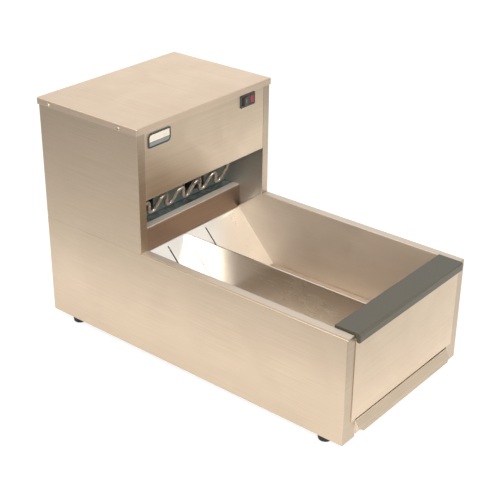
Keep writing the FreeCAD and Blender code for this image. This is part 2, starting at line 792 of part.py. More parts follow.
def tray_runner(name, side):
    body = new_body("tray_runner_" + name)
    inner = "tray_width / 2 + tray_travel_clearance"
    lip_top = "(tray_top + fit_gap + sheet_gauge)"
    lip_edge = "%s * (%s - runner_lip)" % (side, inner)
    wall_in = "%s * (%s)" % (side, inner)
    wall_out = "%s * (%s + sheet_gauge)" % (side, inner)
    flange_edge = "%s * (%s + sheet_gauge + runner_flange)" % (side, inner)
    corners = [
        (lip_edge, lip_top),
        (wall_out, lip_top, "bend_radius"),
        (wall_out, "foot_height + 2 * sheet_gauge", "bend_radius - sheet_gauge"),
        (flange_edge, "foot_height + 2 * sheet_gauge"),
        (flange_edge, "foot_height + sheet_gauge"),
        (wall_in, "foot_height + sheet_gauge", "bend_radius"),
        (wall_in, lip_top + " - sheet_gauge", "bend_radius - sheet_gauge"),
        (lip_edge, lip_top + " - sheet_gauge"),
    ]
    pad(body, "XZ_Plane", between("front + pan_setback", "tray_front + tray_length"), corners)


for name, side in SIDES.items():
    tray_runner(name, side)


# Feet: moulded rubber, each held by a screw up through the floor pan
body = pattern_body("foot_pattern")
turn(body, "XZ_Plane", "V_Axis", [
    ("0", "foot_bore_depth"),
    ("foot_bore_radius", "foot_bore_depth"),
    ("foot_bore_radius", "0"),
    ("foot_toe_radius", "0", "foot_toe_round"),
    ("foot_radius", "foot_height"),
    ("0", "foot_height"),
])
cut(body, "XY_Plane", between("0", "foot_height + overrun"), circles=[("0", "0", "foot_screw_radius")])
group("rubber_feet", body, [(x, y, "0") for x, y in foot_spots])

body = pattern_body("foot_screw_pattern")
turn(body, "XZ_Plane", "V_Axis", [
    ("0", "foot_bore_depth - foot_screw_head_height"),
    ("foot_screw_head_radius", "foot_bore_depth - foot_screw_head_height", "foot_screw_head_height / 3"),
    ("foot_screw_head_radius", "foot_bore_depth"),
    ("foot_screw_radius", "foot_bore_depth"),
    ("foot_screw_radius", "foot_height + sheet_gauge"),
    ("nut_radius", "foot_height + sheet_gauge"),
    ("nut_radius", "foot_height + sheet_gauge + nut_height", "nut_height / 5"),
    ("0", "foot_height + sheet_gauge + nut_height"),
])
group("foot_screws", body, [(x, y, "0") for x, y in foot_spots])


# Tower shell
for name, side in SIDES.items():
    shell_side("tower_side_" + name, side, "tower_jamb", between("seam_height", "cover_under"))

body = new_body("top_cover")
cover_out = "(cover_clearance + sheet_gauge)"
pad(body, "XY_Plane", between("skirt_bottom", "cover_top"), rectangle(
    "-(half_width + %s)" % cover_out, "half_width + " + cover_out,
    "tower_front - " + cover_out, "rear + " + cover_out, "bend_radius"))
round_edges(body, "bend_radius - fit_gap", lambda edge: edge.BoundBox.ZLength < tiny
            and abs(edge.BoundBox.ZMin - number("cover_top")) < tiny)
cut(body, "XY_Plane", between("skirt_bottom - overrun", "cover_under"), rectangle(
    "-(half_width + cover_clearance)", "half_width + cover_clearance",
    "tower_front - cover_clearance", "rear + cover_clearance", "bend_radius / 2"))
cover_screw_y = ("tower_front + cover_screw_front", "rear - cover_screw_rear")
cover_half = "half_width + %s + overrun" % cover_out
cut(body, "YZ_Plane", between(minus(cover_half), cover_half),
    circles=[(y, "cover_top - cover_screw_drop", "screw_shank_radius") for y in cover_screw_y])

# Pan-head screw, head towards +Z above the seat at zero
body = pattern_body("pan_head_screw")
turn(body, "XZ_Plane", "V_Axis", [
    ("0", "-screw_shank_length"),
    ("screw_shank_radius", "-screw_shank_length"),
    ("screw_shank_radius", "0"),
    ("screw_head_radius", "0"),
    ("screw_head_radius", "screw_head_height", "screw_head_round"),
    ("0", "screw_head_height"),
])
arm = "screw_recess_arm"
web = "screw_recess_web"
cut(body, "XY_Plane", between("screw_head_height / 2", "screw_head_height + overrun"), [
    (web, web),
    (web, arm),
    (minus(web), arm),
    (minus(web), web),
    (minus(arm), web),
    (minus(arm), minus(web)),
    (minus(web), minus(web)),
    (minus(web), minus(arm)),
    (web, minus(arm)),
    (web, minus(web)),
    (arm, minus(web)),
    (arm, web),
])
screw = body
group("cover_screws", screw, [
    (side + " * (half_width + %s)" % cover_out, y, "cover_top - cover_screw_drop",
     Vector(0, 1, 0), quarter_turn * int(side))
    for side in SIDES.values() for y in cover_screw_y])
group("rear_panel_screws", screw, [
    (side + " * (half_width - panel_screw_inset)", "rear", height, Vector(1, 0, 0), -quarter_turn)
    for side in SIDES.values() for height in BASE_SCREW_HEIGHTS + TOWER_SCREW_HEIGHTS])
for label, heights in (("base", BASE_SCREW_HEIGHTS), ("tower", TOWER_SCREW_HEIGHTS)):
    for name, side in SIDES.items():
        body = document.getObject("%s_side_%s" % (label, name))
        cut(body, "XZ_Plane", between("rear - panel_screw_end", "rear"), circles=[
            (side + " * (half_width - panel_screw_inset)", height, "screw_shank_radius")
            for height in heights])
for name, side in SIDES.items():
    body = document.getObject("tower_side_" + name)
    cut(body, "YZ_Plane", between("-half_width - overrun", "half_width + overrun"), circles=[
        (y, "cover_top - cover_screw_drop", "screw_shank_radius") for y in cover_screw_y])

# Control panel: flush between the tower's jambs, held by strips behind the seams
body = new_body("control_panel")
panel_half = "half_width - tower_jamb - control_seam"
pad(body, "YZ_Plane", ("-(%s)" % panel_half, "2 * (%s)" % panel_half), [
    ("tower_front", "cover_under"),
    ("tower_front", "mouth_top", "bend_radius"),
    ("tower_front + control_return", "mouth_top"),
    ("tower_front + control_return", "mouth_top + sheet_gauge"),
    ("tower_front + sheet_gauge", "mouth_top + sheet_gauge", "bend_radius - sheet_gauge"),
    ("tower_front + sheet_gauge", "cover_under"),
])
cut(body, "XZ_Plane", between("tower_front - overrun", "tower_front + overrun"),
    centred("switch_offset", "switch_body_width", "switch_z", "switch_body_height"))

body = pattern_body("backing_strip")
pad(body, "XZ_Plane", ("0", "sheet_gauge"), rectangle(
    "-backing_strip_width / 2", "backing_strip_width / 2", "roof_top + fit_gap", "cover_under - fit_gap"))
group("panel_backing_strips", body, [
    (side + " * (half_width - tower_jamb)", "tower_front + sheet_gauge", "0") for side in SIDES.values()])

# Badge plate: blank, with a raised rim and two large opposite corners
body = new_body("badge_plate")


def badge_outline(inset):
    left = "-badge_offset - badge_width / 2 + " + inset
    right = "-badge_offset + badge_width / 2 - " + inset
    low = "badge_z - badge_height / 2 + " + inset
    high = "badge_z + badge_height / 2 - " + inset
    large = "badge_large_round - " + inset
    small = "badge_small_round - " + inset
    return [(left, low, small), (right, low, large), (right, high, small), (left, high, large)]


pad(body, "XZ_Plane", between("tower_front - badge_thick", "tower_front"), badge_outline("0"))
badge_face = "tower_front - badge_thick"
cut(body, "XZ_Plane", between(badge_face + " - overrun", badge_face + " + badge_recess"),
    badge_outline("badge_rim"))

# Rocker switch: bezel with its snap-in housing and pivot pin, and the rocker that turns about the pin
body = new_body("switch_bezel")
body_back = "tower_front + switch_body_depth"
pad(body, "XZ_Plane", between("switch_plane", "tower_front"),
    centred("switch_offset", "bezel_width", "switch_z", "bezel_height", "bezel_round"))
round_edges(body, "bezel_proud / 2", lambda edge: edge.BoundBox.YLength < tiny
            and abs(edge.BoundBox.YMin - number("switch_plane")) < tiny)
pad(body, "XZ_Plane", between("tower_front - bezel_proud / 2", body_back),
    centred("switch_offset", "(switch_body_width - fit_gap)", "switch_z", "(switch_body_height - fit_gap)"))
cavity_back = body_back + " - switch_wall * 2"
cavity_width = "(switch_body_width - 2 * switch_wall)"
cavity_height = "(switch_body_height - 2 * switch_wall)"
cut(body, "XZ_Plane", between("switch_plane - overrun", cavity_back),
    centred("switch_offset", cavity_width, "switch_z", cavity_height))
pad(body, "XY_Plane", between("switch_z - %s / 2 - switch_wall / 2" % cavity_height,
                              "switch_z + %s / 2 + switch_wall / 2" % cavity_height),
    circles=[("switch_offset", "rocker_pivot_y", "rocker_pin_radius")])
pad(body, "XZ_Plane", (body_back + " - switch_wall / 2", "spade_length"), *[
    centred("(switch_offset + %s * spade_spacing)" % step, "spade_thick", "switch_z", "spade_width")
    for step in ("-1", "0", "1")])

# The rocker is drawn about its pivot and stands tilted to one side at rest
body = new_body("switch_rocker")
half = "(%s / 2 - rocker_gap - switch_wall / 2)" % cavity_width
half_high = "(%s / 2 - rocker_gap)" % cavity_height
pad(body, "XY_Plane", (minus(half_high), "2 * " + half_high), [
    (minus(half), minus("rocker_pin_set_back + rocker_crest")),
    ("0", minus("rocker_pin_set_back + bezel_proud")),
    (half, minus("rocker_pin_set_back + rocker_crest")),
    (half, minus("rocker_pin_set_back - rocker_skirt")),
    ("rocker_boss_radius", "0"),
    ("rocker_boss_radius", "rocker_boss_radius", "rocker_boss_radius * boss_round_share"),
    ("-rocker_boss_radius", "rocker_boss_radius", "rocker_boss_radius * boss_round_share"),
    ("-rocker_boss_radius", "0"),
    (minus(half), minus("rocker_pin_set_back - rocker_skirt")),
])
cut(body, "XY_Plane", ("-switch_body_height", "2 * switch_body_height"),
    circles=[("0", "0", "rocker_pin_radius + running_gap")])
body.Placement = FreeCAD.Placement(Vector(), FreeCAD.Rotation(Vector(0, 0, 1), number("rocker_tilt")))
place(body, "switch_offset", "rocker_pivot_y", "switch_z")


# Duct: sides, roof, deck and the panel that carries the blowers
def duct_side(name, side):
    body = new_body("duct_side_" + name)
    inner = "duct_width / 2"
    wall_start = inner if side == "1" else "-(duct_width / 2 + sheet_gauge)"
    duct_front = "tower_front + 2 * sheet_gauge + fit_gap"
    pad(body, "YZ_Plane", (wall_start, "sheet_gauge"), [
        (duct_front, "roof_under"),
        ("blower_panel_y", "roof_under"),
        ("blower_panel_y", "rail_top"),
        ("deck_front - fit_gap", "rail_top"),
        ("deck_front - fit_gap", "ramp_top_z - ramp_hem"),
        ("ramp_top_y - ramp_hem", "ramp_top_z - ramp_hem"),
        (duct_front, "rail_top - ramp_hem"),
    ])
    pad(body, "XY_Plane", ("rail_top", "sheet_gauge"), rectangle(
        side + " * (duct_width / 2 + sheet_gauge / 2)",
        side + " * (duct_width / 2 + sheet_gauge + duct_flange)",
        "deck_front", "blower_panel_y"))


for name, side in SIDES.items():
    duct_side(name, side)

deck_half = "(shell_inner - fit_gap)"
body = new_body("plenum_deck")
pad(body, "XY_Plane", ("seam_height", "sheet_gauge"), rectangle(
    "-" + deck_half, deck_half, "deck_front", "rear - sheet_gauge - bend_radius"))
riser_rear = "rear - 2 * sheet_gauge - riser_rear_gap"
cut(body, "XY_Plane", between("seam_height - overrun", "rail_top + overrun"), *[rectangle(
    side + " * (shell_inner - riser_inset)", side + " * (shell_inner - riser_inset - riser_width)",
    riser_rear + " - riser_length", riser_rear, "bend_radius") for side in SIDES.values()])

leg_run = "(wave_pitch / 2 - 2 * wave_bend_radius * cos(wave_splay))"
last_bend = "(wave_pitch * (wave_count - 1) / 2)"
cold_x = "(%s + %s + wave_bend_radius)" % (last_bend, leg_run)
roof_reach = "(roof_under - rail_top - element_rise) * tan(element_lean)"
roof_hole_y = "tower_front + element_set_back - " + roof_reach
body = new_body("duct_roof")
pad(body, "YZ_Plane", ("-" + deck_half, "2 * " + deck_half), [
    ("tower_front + 2 * sheet_gauge + fit_gap", "roof_under"),
    ("blower_panel_y", "roof_under", "bend_radius"),
    ("blower_panel_y", "roof_top + panel_flange"),
    ("blower_panel_y - sheet_gauge", "roof_top + panel_flange"),
    ("blower_panel_y - sheet_gauge", "roof_top", "bend_radius - sheet_gauge"),
    ("tower_front + 2 * sheet_gauge + fit_gap", "roof_top"),
])
cut(body, "XY_Plane", between("roof_under - overrun", "roof_top + overrun"), circles=[
    (side + " * " + cold_x, roof_hole_y, "roof_hole_radius") for side in SIDES.values()])

body = new_body("blower_panel")
pad(body, "YZ_Plane", ("-" + deck_half, "2 * " + deck_half), [
    ("blower_panel_y", "rail_top", "bend_radius"),
    ("blower_panel_y", "cover_under"),
    ("blower_panel_y + sheet_gauge", "cover_under"),
    ("blower_panel_y + sheet_gauge", "rail_top + sheet_gauge", "bend_radius - sheet_gauge"),
    ("blower_panel_y + panel_flange", "rail_top + sheet_gauge"),
    ("blower_panel_y + panel_flange", "rail_top"),
])
cut(body, "XZ_Plane", between("blower_panel_y - overrun", "blower_panel_y + sheet_gauge"), *[rectangle(
    side + " * (blower_offset + sheet_gauge)", side + " * (blower_offset + blower_width - sheet_gauge)",
    "neck_bottom + sheet_gauge", "neck_top - sheet_gauge") for side in SIDES.values()])


# Heating element: one sheathed tube bent to a leaning wave, with both cold ends through the roof
splay = number("wave_splay")
leg_rise = "(%s / tan(wave_splay))" % leg_run
tangent_x = "wave_bend_radius * cos(wave_splay)"
tangent_rise = "(wave_bend_radius - wave_bend_radius * sin(wave_splay))"
high_centre = "(wave_bend_radius + %s - 2 * wave_bend_radius * sin(wave_splay))" % leg_rise
pieces = []


def element_piece(kind, radius, x, rise, rotation):
    piece = document.addObject(kind, "element_piece")
    piece.setExpression(radius, bind("tube_radius"))
    piece.Placement.Rotation = rotation
    place(piece, x, "0", rise)
    pieces.append(piece)
    return piece


def element_bend(x, rise, facing, start, sweep):
    """Part of a ring: facing is -1 for a bend that opens upwards, 1 for one that opens downwards."""
    rotation = FreeCAD.Rotation(Vector(1, 0, 0), facing * quarter_turn)
    rotation = rotation.multiply(FreeCAD.Rotation(Vector(0, 0, 1), start))
    piece = element_piece("Part::Torus", "Radius2", x, rise, rotation)
    piece.setExpression("Radius1", bind("wave_bend_radius"))
    piece.Angle3 = sweep


def element_leg(x, rise, length, lean):
    piece = element_piece("Part::Cylinder", "Radius", x, rise, FreeCAD.Rotation(Vector(0, 1, 0), lean))
    piece.setExpression("Height", bind(length))


half_turn = 2 * quarter_turn
waves = int(number("wave_count"))
for index in range(waves):
    x = "((%d - (wave_count - 1) / 2) * wave_pitch)" % index
    element_bend(x, "wave_bend_radius", -1, splay, half_turn - 2 * splay)
    for side in SIDES.values():
        element_leg("%s + %s * %s" % (x, side, tangent_x), tangent_rise, "%s / sin(wave_splay)" % leg_run,
                    splay * int(side))
    if index < waves - 1:
        element_bend(x + " + wave_pitch / 2", high_centre, 1, splay, half_turn - 2 * splay)
for side in SIDES.values():
    end_x = "%s * (%s + %s)" % (side, last_bend, leg_run)
    end_rise = "wave_bend_radius + " + leg_rise
    element_bend(end_x, end_rise, -1, 0 if side == "1" else half_turn - splay, splay)
    element_leg("%s * %s" % (side, cold_x), end_rise, "cold_end_length", 0)
element = document.addObject("Part::MultiFuse", "heating_element")
element.Label = "heating_element"
element.Shapes = pieces
element.Placement.Rotation = FreeCAD.Rotation(Vector(1, 0, 0), number("element_lean"))
place(element, "0", "tower_front + element_set_back", "rail_top + element_rise")
nodes.append(element)

# Hangers: plates from the roof with a hole round the crown of an upper bend
crown = "(%s + wave_bend_radius)" % high_centre
crown_y = "tower_front + element_set_back - %s * sin(element_lean)" % crown
crown_z = "rail_top + element_rise + %s * cos(element_lean)" % crown
body = pattern_body("hanger_pattern")
pad(body, "YZ_Plane", ("-sheet_gauge / 2", "sheet_gauge"), [
    (crown_y + " - hanger_width / 2", crown_z + " - hanger_width / 2", "hanger_width * full_round_share"),
    (crown_y + " + hanger_width / 2", crown_z + " - hanger_width / 2", "hanger_width * full_round_share"),
    (crown_y + " + hanger_width / 2", "roof_under"),
    (crown_y + " - hanger_width / 2", "roof_under"),
])
pad(body, "XY_Plane", between("roof_under - sheet_gauge", "roof_under"), rectangle(
    "0", "hanger_width / 2", crown_y + " - hanger_width / 2", crown_y + " + hanger_width / 2"))
cut(body, "YZ_Plane", between("-hanger_width", "hanger_width"),
    circles=[(crown_y, crown_z, "tube_radius + running_gap")])
group("element_hangers", body, [(side + " * wave_pitch", "0", "0") for side in SIDES.values()])

# Terminals: a ceramic collar and a pin on each cold end
body = pattern_body("terminal_pattern")
turn(body, "XZ_Plane", "V_Axis", [
    ("0", "0"),
    ("terminal_radius", "0", "terminal_radius / 6"),
    ("terminal_radius", "terminal_length", "terminal_radius / 4"),
    ("terminal_pin_radius", "terminal_length"),
    ("terminal_pin_radius", "terminal_length + terminal_pin_length"),
    ("0", "terminal_length + terminal_pin_length"),
])
cold_end = "(wave_bend_radius + %s + cold_end_length)" % leg_rise
group("element_terminals", body, [
    (side + " * " + cold_x, "tower_front + element_set_back - %s * sin(element_lean)" % cold_end,
     "rail_top + element_rise + %s * cos(element_lean)" % cold_end, Vector(1, 0, 0), number("element_lean"))
    for side in SIDES.values()])


# Blower housings: a scroll that widens towards a neck, with a side plate and an inlet on each side
def scroll_outline(inset):
    """The scroll seen from the side: the neck opens forward, and each corner turns on a larger radius."""
    front_side = "scroll_y - scroll_front + " + inset
    rear_side = "scroll_y + scroll_rear - " + inset
    top = "scroll_z + scroll_top - " + inset
    bottom = "scroll_z - scroll_bottom + " + inset
    return [
        ("blower_panel_y + sheet_gauge", "neck_top - " + inset),
        (front_side, "neck_top - " + inset),
        (front_side, top, "scroll_front * scroll_round_share - " + inset),
        (rear_side, top, "scroll_top * scroll_round_share - " + inset),
        (rear_side, bottom, "scroll_rear * scroll_round_share - " + inset),
        ("blower_panel_y + sheet_gauge", bottom),
    ]


def blower_housing(name, side):
    body = new_body("blower_housing_" + name)
    inner = "blower_offset"
    outer = "blower_offset + blower_width"

    def across(low, high):
        return between(low, high) if side == "1" else between(minus(high), minus(low))

    plate = scroll_outline("0")
    pad(body, "YZ_Plane", across(inner, inner + " + sheet_gauge"), plate,
        circles=[("scroll_y", "scroll_z", "shaft_hole_radius")])
    pad(body, "YZ_Plane", across(outer + " - sheet_gauge", outer), plate,
        circles=[("scroll_y", "scroll_z", "inlet_radius")])
    shell = scroll_outline("0")
    lining = scroll_outline("sheet_gauge")
    strip = shell + lining[::-1]
    pad(body, "YZ_Plane", across(inner + " + sheet_gauge / 2", outer + " - sheet_gauge / 2"), strip)
    flange_x = (side + " * (%s - neck_flange)" % inner, side + " * (%s + neck_flange)" % outer)
    pad(body, "XZ_Plane", ("blower_panel_y + sheet_gauge", "sheet_gauge"),
        rectangle(flange_x[0], flange_x[1], "neck_bottom - neck_flange", "neck_top + neck_flange"),
        rectangle(side + " * (%s + sheet_gauge)" % inner, side + " * (%s - sheet_gauge)" % outer,
                  "neck_bottom + sheet_gauge", "neck_top - sheet_gauge"))


for name, side in SIDES.items():
    blower_housing(name, side)


# Blower wheels: a plate with its hub, forward-curved blades and an open ring
def blower_wheel(name, side):
    start = "blower_offset + wheel_side_gap"
    end = "blower_offset + wheel_side_gap + wheel_width"

    def across(low, high):
        return between(low, high) if side == "1" else between(minus(high), minus(low))

    body = new_body("blower_wheel_plate_" + name)
    pad(body, "YZ_Plane", across(start, start + " + sheet_gauge"),
        circles=[("0", "0", "wheel_radius"), ("0", "0", "shaft_radius")])
    pad(body, "YZ_Plane", across(start + " + sheet_gauge / 2", start + " + wheel_hub_length"),
        circles=[("0", "0", "wheel_hub_radius"), ("0", "0", "shaft_radius")])
    place(body, "0", "scroll_y", "scroll_z")

    body = new_body("blower_wheel_ring_" + name)
    pad(body, "YZ_Plane", across(end + " - sheet_gauge", end),
        circles=[("0", "0", "wheel_radius"), ("0", "0", "wheel_radius - blade_depth")])
    place(body, "0", "scroll_y", "scroll_z")

    blade = pattern_body("blower_blade_" + name)
    root = "wheel_radius - blade_depth + blade_thick / 5"
    knee = "wheel_radius - blade_depth / 2"
    pad(blade, "YZ_Plane", across(start + " + sheet_gauge", end + " - sheet_gauge"), [
        (root, "-blade_thick / 2"),
        (knee, "-blade_thick / 2", "blade_curve"),
        ("wheel_radius - blade_thick", "blade_lean - blade_thick"),
        ("wheel_radius - 2 * blade_thick", "blade_lean"),
        (knee + " - blade_thick / 3", "blade_thick / 2", "blade_curve - blade_thick"),
        (root, "blade_thick / 2"),
    ])
    blades = int(number("blade_count"))
    group("blower_blades_" + name, blade, [
        ("0", "scroll_y", "scroll_z", Vector(1, 0, 0), full_turn * index / blades) for index in range(blades)])


for name, side in SIDES.items():
    blower_wheel(name, side)

# Motor with a shaft out of both ends, on a pedestal
body = new_body("blower_motor")
bell_end = "(motor_length / 2 + bell_length)"
turn(body, "XZ_Plane", "H_Axis", [
    ("-" + bell_end, "bush_radius"),
    ("-" + bell_end, "bell_radius", "bell_length / 3"),
    ("-motor_length / 2", "bell_radius"),
    ("-motor_length / 2", "motor_radius", "motor_round"),
    ("motor_length / 2", "motor_radius", "motor_round"),
    ("motor_length / 2", "bell_radius"),
    (bell_end, "bell_radius", "bell_length / 3"),
    (bell_end, "bush_radius"),
])
place(body, "0", "scroll_y", "scroll_z")

body = pattern_body("bush_pattern")
pad(body, "YZ_Plane", ("0", "bush_length"),
    circles=[("0", "0", "bush_radius"), ("0", "0", "shaft_radius + running_gap")])
group("motor_bushes", body, [("-" + bell_end, "scroll_y", "scroll_z"),
                             (bell_end + " - bush_length", "scroll_y", "scroll_z")])

shaft_half = "(blower_offset + wheel_side_gap + wheel_hub_length + shaft_overhang)"
body = new_body("motor_shaft")
pad(body, "YZ_Plane", ("-" + shaft_half, "2 * " + shaft_half), circles=[("0", "0", "shaft_radius")])
place(body, "0", "scroll_y", "scroll_z")

# The pedestal: a folded saddle, two legs cut to the motor's round and a foot plate between them
body = new_body("motor_pedestal")
saddle_half = "(motor_radius * saddle_share)"
pad(body, "YZ_Plane", ("-pedestal_width / 2", "pedestal_width"), [
    ("scroll_y - motor_radius - pedestal_foot", "rail_top"),
    ("scroll_y + motor_radius + pedestal_foot", "rail_top"),
    ("scroll_y + %s + pedestal_gauge" % saddle_half, "scroll_z - motor_radius / 3"),
    ("scroll_y - %s - pedestal_gauge" % saddle_half, "scroll_z - motor_radius / 3"),
])
inside_half = "(pedestal_width / 2 - pedestal_gauge)"
cut(body, "YZ_Plane", (minus(inside_half), "2 * " + inside_half), rectangle(
    "scroll_y - motor_radius - pedestal_foot - overrun", "scroll_y + motor_radius + pedestal_foot + overrun",
    "rail_top + pedestal_gauge", "scroll_z"))
cut(body, "YZ_Plane", ("-pedestal_width", "2 * pedestal_width"),
    circles=[("scroll_y", "scroll_z", "motor_radius")])


# Electrics above the duct roof, and the power inlet at the back of the base
def disc_thermostat(label, x):
    body = new_body(label)
    turn(body, "XZ_Plane", "V_Axis", [
        ("0", "0"),
        ("thermostat_plate_radius", "0"),
        ("thermostat_plate_radius", "sheet_gauge"),
        ("thermostat_radius", "sheet_gauge"),
        ("thermostat_radius", "thermostat_height", "thermostat_radius / 6"),
        ("0", "thermostat_height"),
    ])
    pad(body, "XY_Plane", ("thermostat_height - sheet_gauge", "spade_length"), *[
        centred(step + " * thermostat_radius / 2", "spade_thick", "0", "spade_width")
        for step in ("-1", "1")])
    place(body, x, "(tower_front + blower_panel_y) / 2", "roof_top")


disc_thermostat("control_thermostat", "-thermostat_offset")
disc_thermostat("high_limit_cutout", "thermostat_offset")

body = new_body("terminal_block")
block_y = "blower_panel_y - sheet_gauge - block_depth - panel_flange"
pad(body, "XY_Plane", ("roof_top", "block_height"), rectangle(
    "-block_length / 2", "block_length / 2", block_y, block_y + " + block_depth"))
way = "((block_length - block_rib) / block_ways)"
cut(body, "XY_Plane", between("roof_top + block_height - block_step", "roof_top + block_height + overrun"), *[
    rectangle("-block_length / 2 + block_rib + %d * %s" % (index, way),
              "-block_length / 2 + %d * %s" % (index + 1, way), low, high)
    for index in range(int(number("block_ways")))
    for low, high in ((block_y + " - overrun", block_y + " + block_depth / 2 - block_rib"),
                      (block_y + " + block_depth / 2 + block_rib", block_y + " + block_depth + overrun"))])

body = new_body("power_inlet")
inlet_z = "(foot_height + inlet_rise)"
pad(body, "XZ_Plane", ("rear", "inlet_proud"), centred(
    "inlet_offset", "inlet_flange_width", inlet_z, "inlet_flange_height", "bezel_round"))
pad(body, "XZ_Plane", between("rear - inlet_body_depth", "rear + inlet_proud / 2"), centred(
    "inlet_offset", "(inlet_body_width - fit_gap)", inlet_z, "(inlet_body_height - fit_gap)", "bezel_round"))
inlet_face = "rear + inlet_proud"
cut(body, "XZ_Plane", between(inlet_face + " - inlet_cavity_depth", inlet_face + " + overrun"), centred(
    "inlet_offset", "inlet_cavity_width", inlet_z, "inlet_cavity_height", "bezel_round"))
pad(body, "XZ_Plane", (inlet_face + " - inlet_cavity_depth - sheet_gauge", "inlet_pin_length"), *[
    centred("(inlet_offset + %s * inlet_pin_pitch)" % step, "inlet_pin_thick", inlet_z, "inlet_pin_height")
    for step in ("-1", "0", "1")])

# Build, test every object, then write one file for each node
document.recompute()
faults = []
for thing in document.Objects:
    if set(thing.State) & {"Invalid", "Error"}:
        faults.append("%s is in state %s" % (thing.Label, thing.State))
for feature in cutting_features:
    if feature.BaseFeature is None or feature.Shape.Volume >= feature.BaseFeature.Shape.Volume:
        faults.append("%s takes nothing away" % feature.Label)
for node in nodes:
    if node.Shape.isNull() or not node.Shape.isValid():
        faults.append("%s has no valid shape" % node.Label)
if faults:
    raise RuntimeError("; ".join(faults))

os.makedirs("parts", exist_ok=True)
for node in nodes:
    node.Shape.exportStep("parts/%s.step" % node.Label)
print("wrote %d nodes" % len(nodes))
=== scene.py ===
# %% [markdown]
# # A food warmer in brushed stainless sheet
# The object is an open trough with a blower tower behind it, almost all of it folded from thin stainless
# sheet. Its solids come from a CAD model and stay as they are. This lesson gives them their surfaces, adds
# four thin inlays and an edge guard that the CAD model leaves out, and then sets up a floor, a soft studio
# and a camera.

# %% Load the solids
import math

import bmesh
import bpy
from mathutils import Matrix, Vector


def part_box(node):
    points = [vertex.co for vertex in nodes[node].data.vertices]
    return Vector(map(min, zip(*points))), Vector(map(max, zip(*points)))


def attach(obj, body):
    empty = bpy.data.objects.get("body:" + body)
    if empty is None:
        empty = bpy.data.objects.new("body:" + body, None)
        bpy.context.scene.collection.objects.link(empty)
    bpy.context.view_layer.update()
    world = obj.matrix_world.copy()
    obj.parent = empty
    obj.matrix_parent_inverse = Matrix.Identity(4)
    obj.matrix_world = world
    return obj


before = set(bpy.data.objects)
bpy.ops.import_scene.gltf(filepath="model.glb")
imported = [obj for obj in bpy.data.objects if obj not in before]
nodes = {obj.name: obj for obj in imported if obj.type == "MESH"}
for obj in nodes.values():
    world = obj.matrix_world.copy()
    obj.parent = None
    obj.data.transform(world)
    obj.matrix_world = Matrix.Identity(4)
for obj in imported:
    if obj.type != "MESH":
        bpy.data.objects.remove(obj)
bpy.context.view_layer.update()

# %% [markdown]
# Colours are written as sRGB hex values, as a paint card or a picture editor gives them. Shaders work in
# linear light, so one function turns each value over.

# %% Colour values
def linear(code):
    """An sRGB hex value as a linear colour with alpha."""
    parts = [int(code[place:place + 2], 16) / 255 for place in (1, 3, 5)]
    return tuple(part / 12.92 if part <= 0.04045 else ((part + 0.055) / 1.055) ** 2.4 for part in parts) + (1.0,)


print("steel grey in linear light:", [round(part, 3) for part in linear("#CDBCA6")])

# %% [markdown]
# A material is a small graph of nodes. One helper adds a node, sets its properties and fills its sockets:
# a socket gets a plain value or the output of another node.

# %% One helper for every node
def add_node(tree, kind, sockets=None, **settings):
    """Adds a node with its settings, and sets or links the named sockets."""
    node = tree.nodes.new(kind)
    for name, value in settings.items():
        setattr(node, name, value)
    for name, value in (sockets or {}).items():
        if isinstance(value, bpy.types.NodeSocket):
            tree.links.new(value, node.inputs[name])
        else:
            node.inputs[name].default_value = value
    return node


def new_material(name):
    """An empty material, its node tree and a shader that is already wired to the output."""
    material = bpy.data.materials.new(name)
    material.use_nodes = True
    tree = material.node_tree
    tree.nodes.clear()
    shader = add_node(tree, "ShaderNodeBsdfPrincipled")
    add_node(tree, "ShaderNodeOutputMaterial", {"Surface": shader.outputs[0]})
    return material, tree, shader


def per_metre(millimetres):
    """How many features of this size fit in a metre, which is a texture's scale."""
    return 1000 / millimetres


print("a 2 mm feature has scale", per_metre(2))

# %% [markdown]
# ## Brushed stainless
# Stainless sheet for kitchen goods is ground with a belt, which leaves fine parallel scratches a tenth of a
# millimetre apart. They stretch every reflection across the grain, so the sheet shows soft bands of light
# and no sharp picture. A pixel here is about 1.6 mm, so the scratches are drawn 2 mm wide and very faint.
# The grain runs along the trough on its sides and top, and across it on the faces that look forward. Two
# stretched noises make the two directions, and the surface's own normal chooses between them.

# %% Brushed grain
GRAIN_WIDTH = 2.0       # mm, as drawn
GRAIN_LENGTH = 160.0    # mm
FORWARD = 0.8           # a normal with more of Y than this looks forward or back


def brushed_grain(tree):
    """The scratch pattern from 0 to 1, the direction that it runs in, and 1 on faces that look forward."""
    place = add_node(tree, "ShaderNodeTexCoord").outputs["Object"]
    normal = add_node(tree, "ShaderNodeNewGeometry").outputs["True Normal"]
    parts = add_node(tree, "ShaderNodeSeparateXYZ", {0: normal})
    steep = add_node(tree, "ShaderNodeMath", {0: parts.outputs["Y"]}, operation="ABSOLUTE")
    forward = add_node(tree, "ShaderNodeMath", {0: steep.outputs[0], 1: FORWARD}, operation="GREATER_THAN").outputs[0]
    wide, long = per_metre(GRAIN_WIDTH), per_metre(GRAIN_LENGTH)
    noises = []
    for scale in ((wide, long, wide), (long, wide, wide)):
        stretched = add_node(tree, "ShaderNodeMapping", {"Vector": place, "Scale": scale})
        noise = add_node(tree, "ShaderNodeTexNoise", {
            "Vector": stretched.outputs[0], "Scale": 1.0, "Detail": 4.0, "Roughness": 0.7})
        noises.append(noise.outputs["Fac"])
    grain = add_node(tree, "ShaderNodeMix", {0: forward, 2: noises[0], 3: noises[1]}, data_type="FLOAT")
    along = add_node(tree, "ShaderNodeMix", {0: forward, 4: (0, 1, 0), 5: (1, 0, 0)}, data_type="VECTOR")
    return place, grain.outputs[0], along.outputs[1], forward


print("grain in mm:", GRAIN_WIDTH, "by", GRAIN_LENGTH)

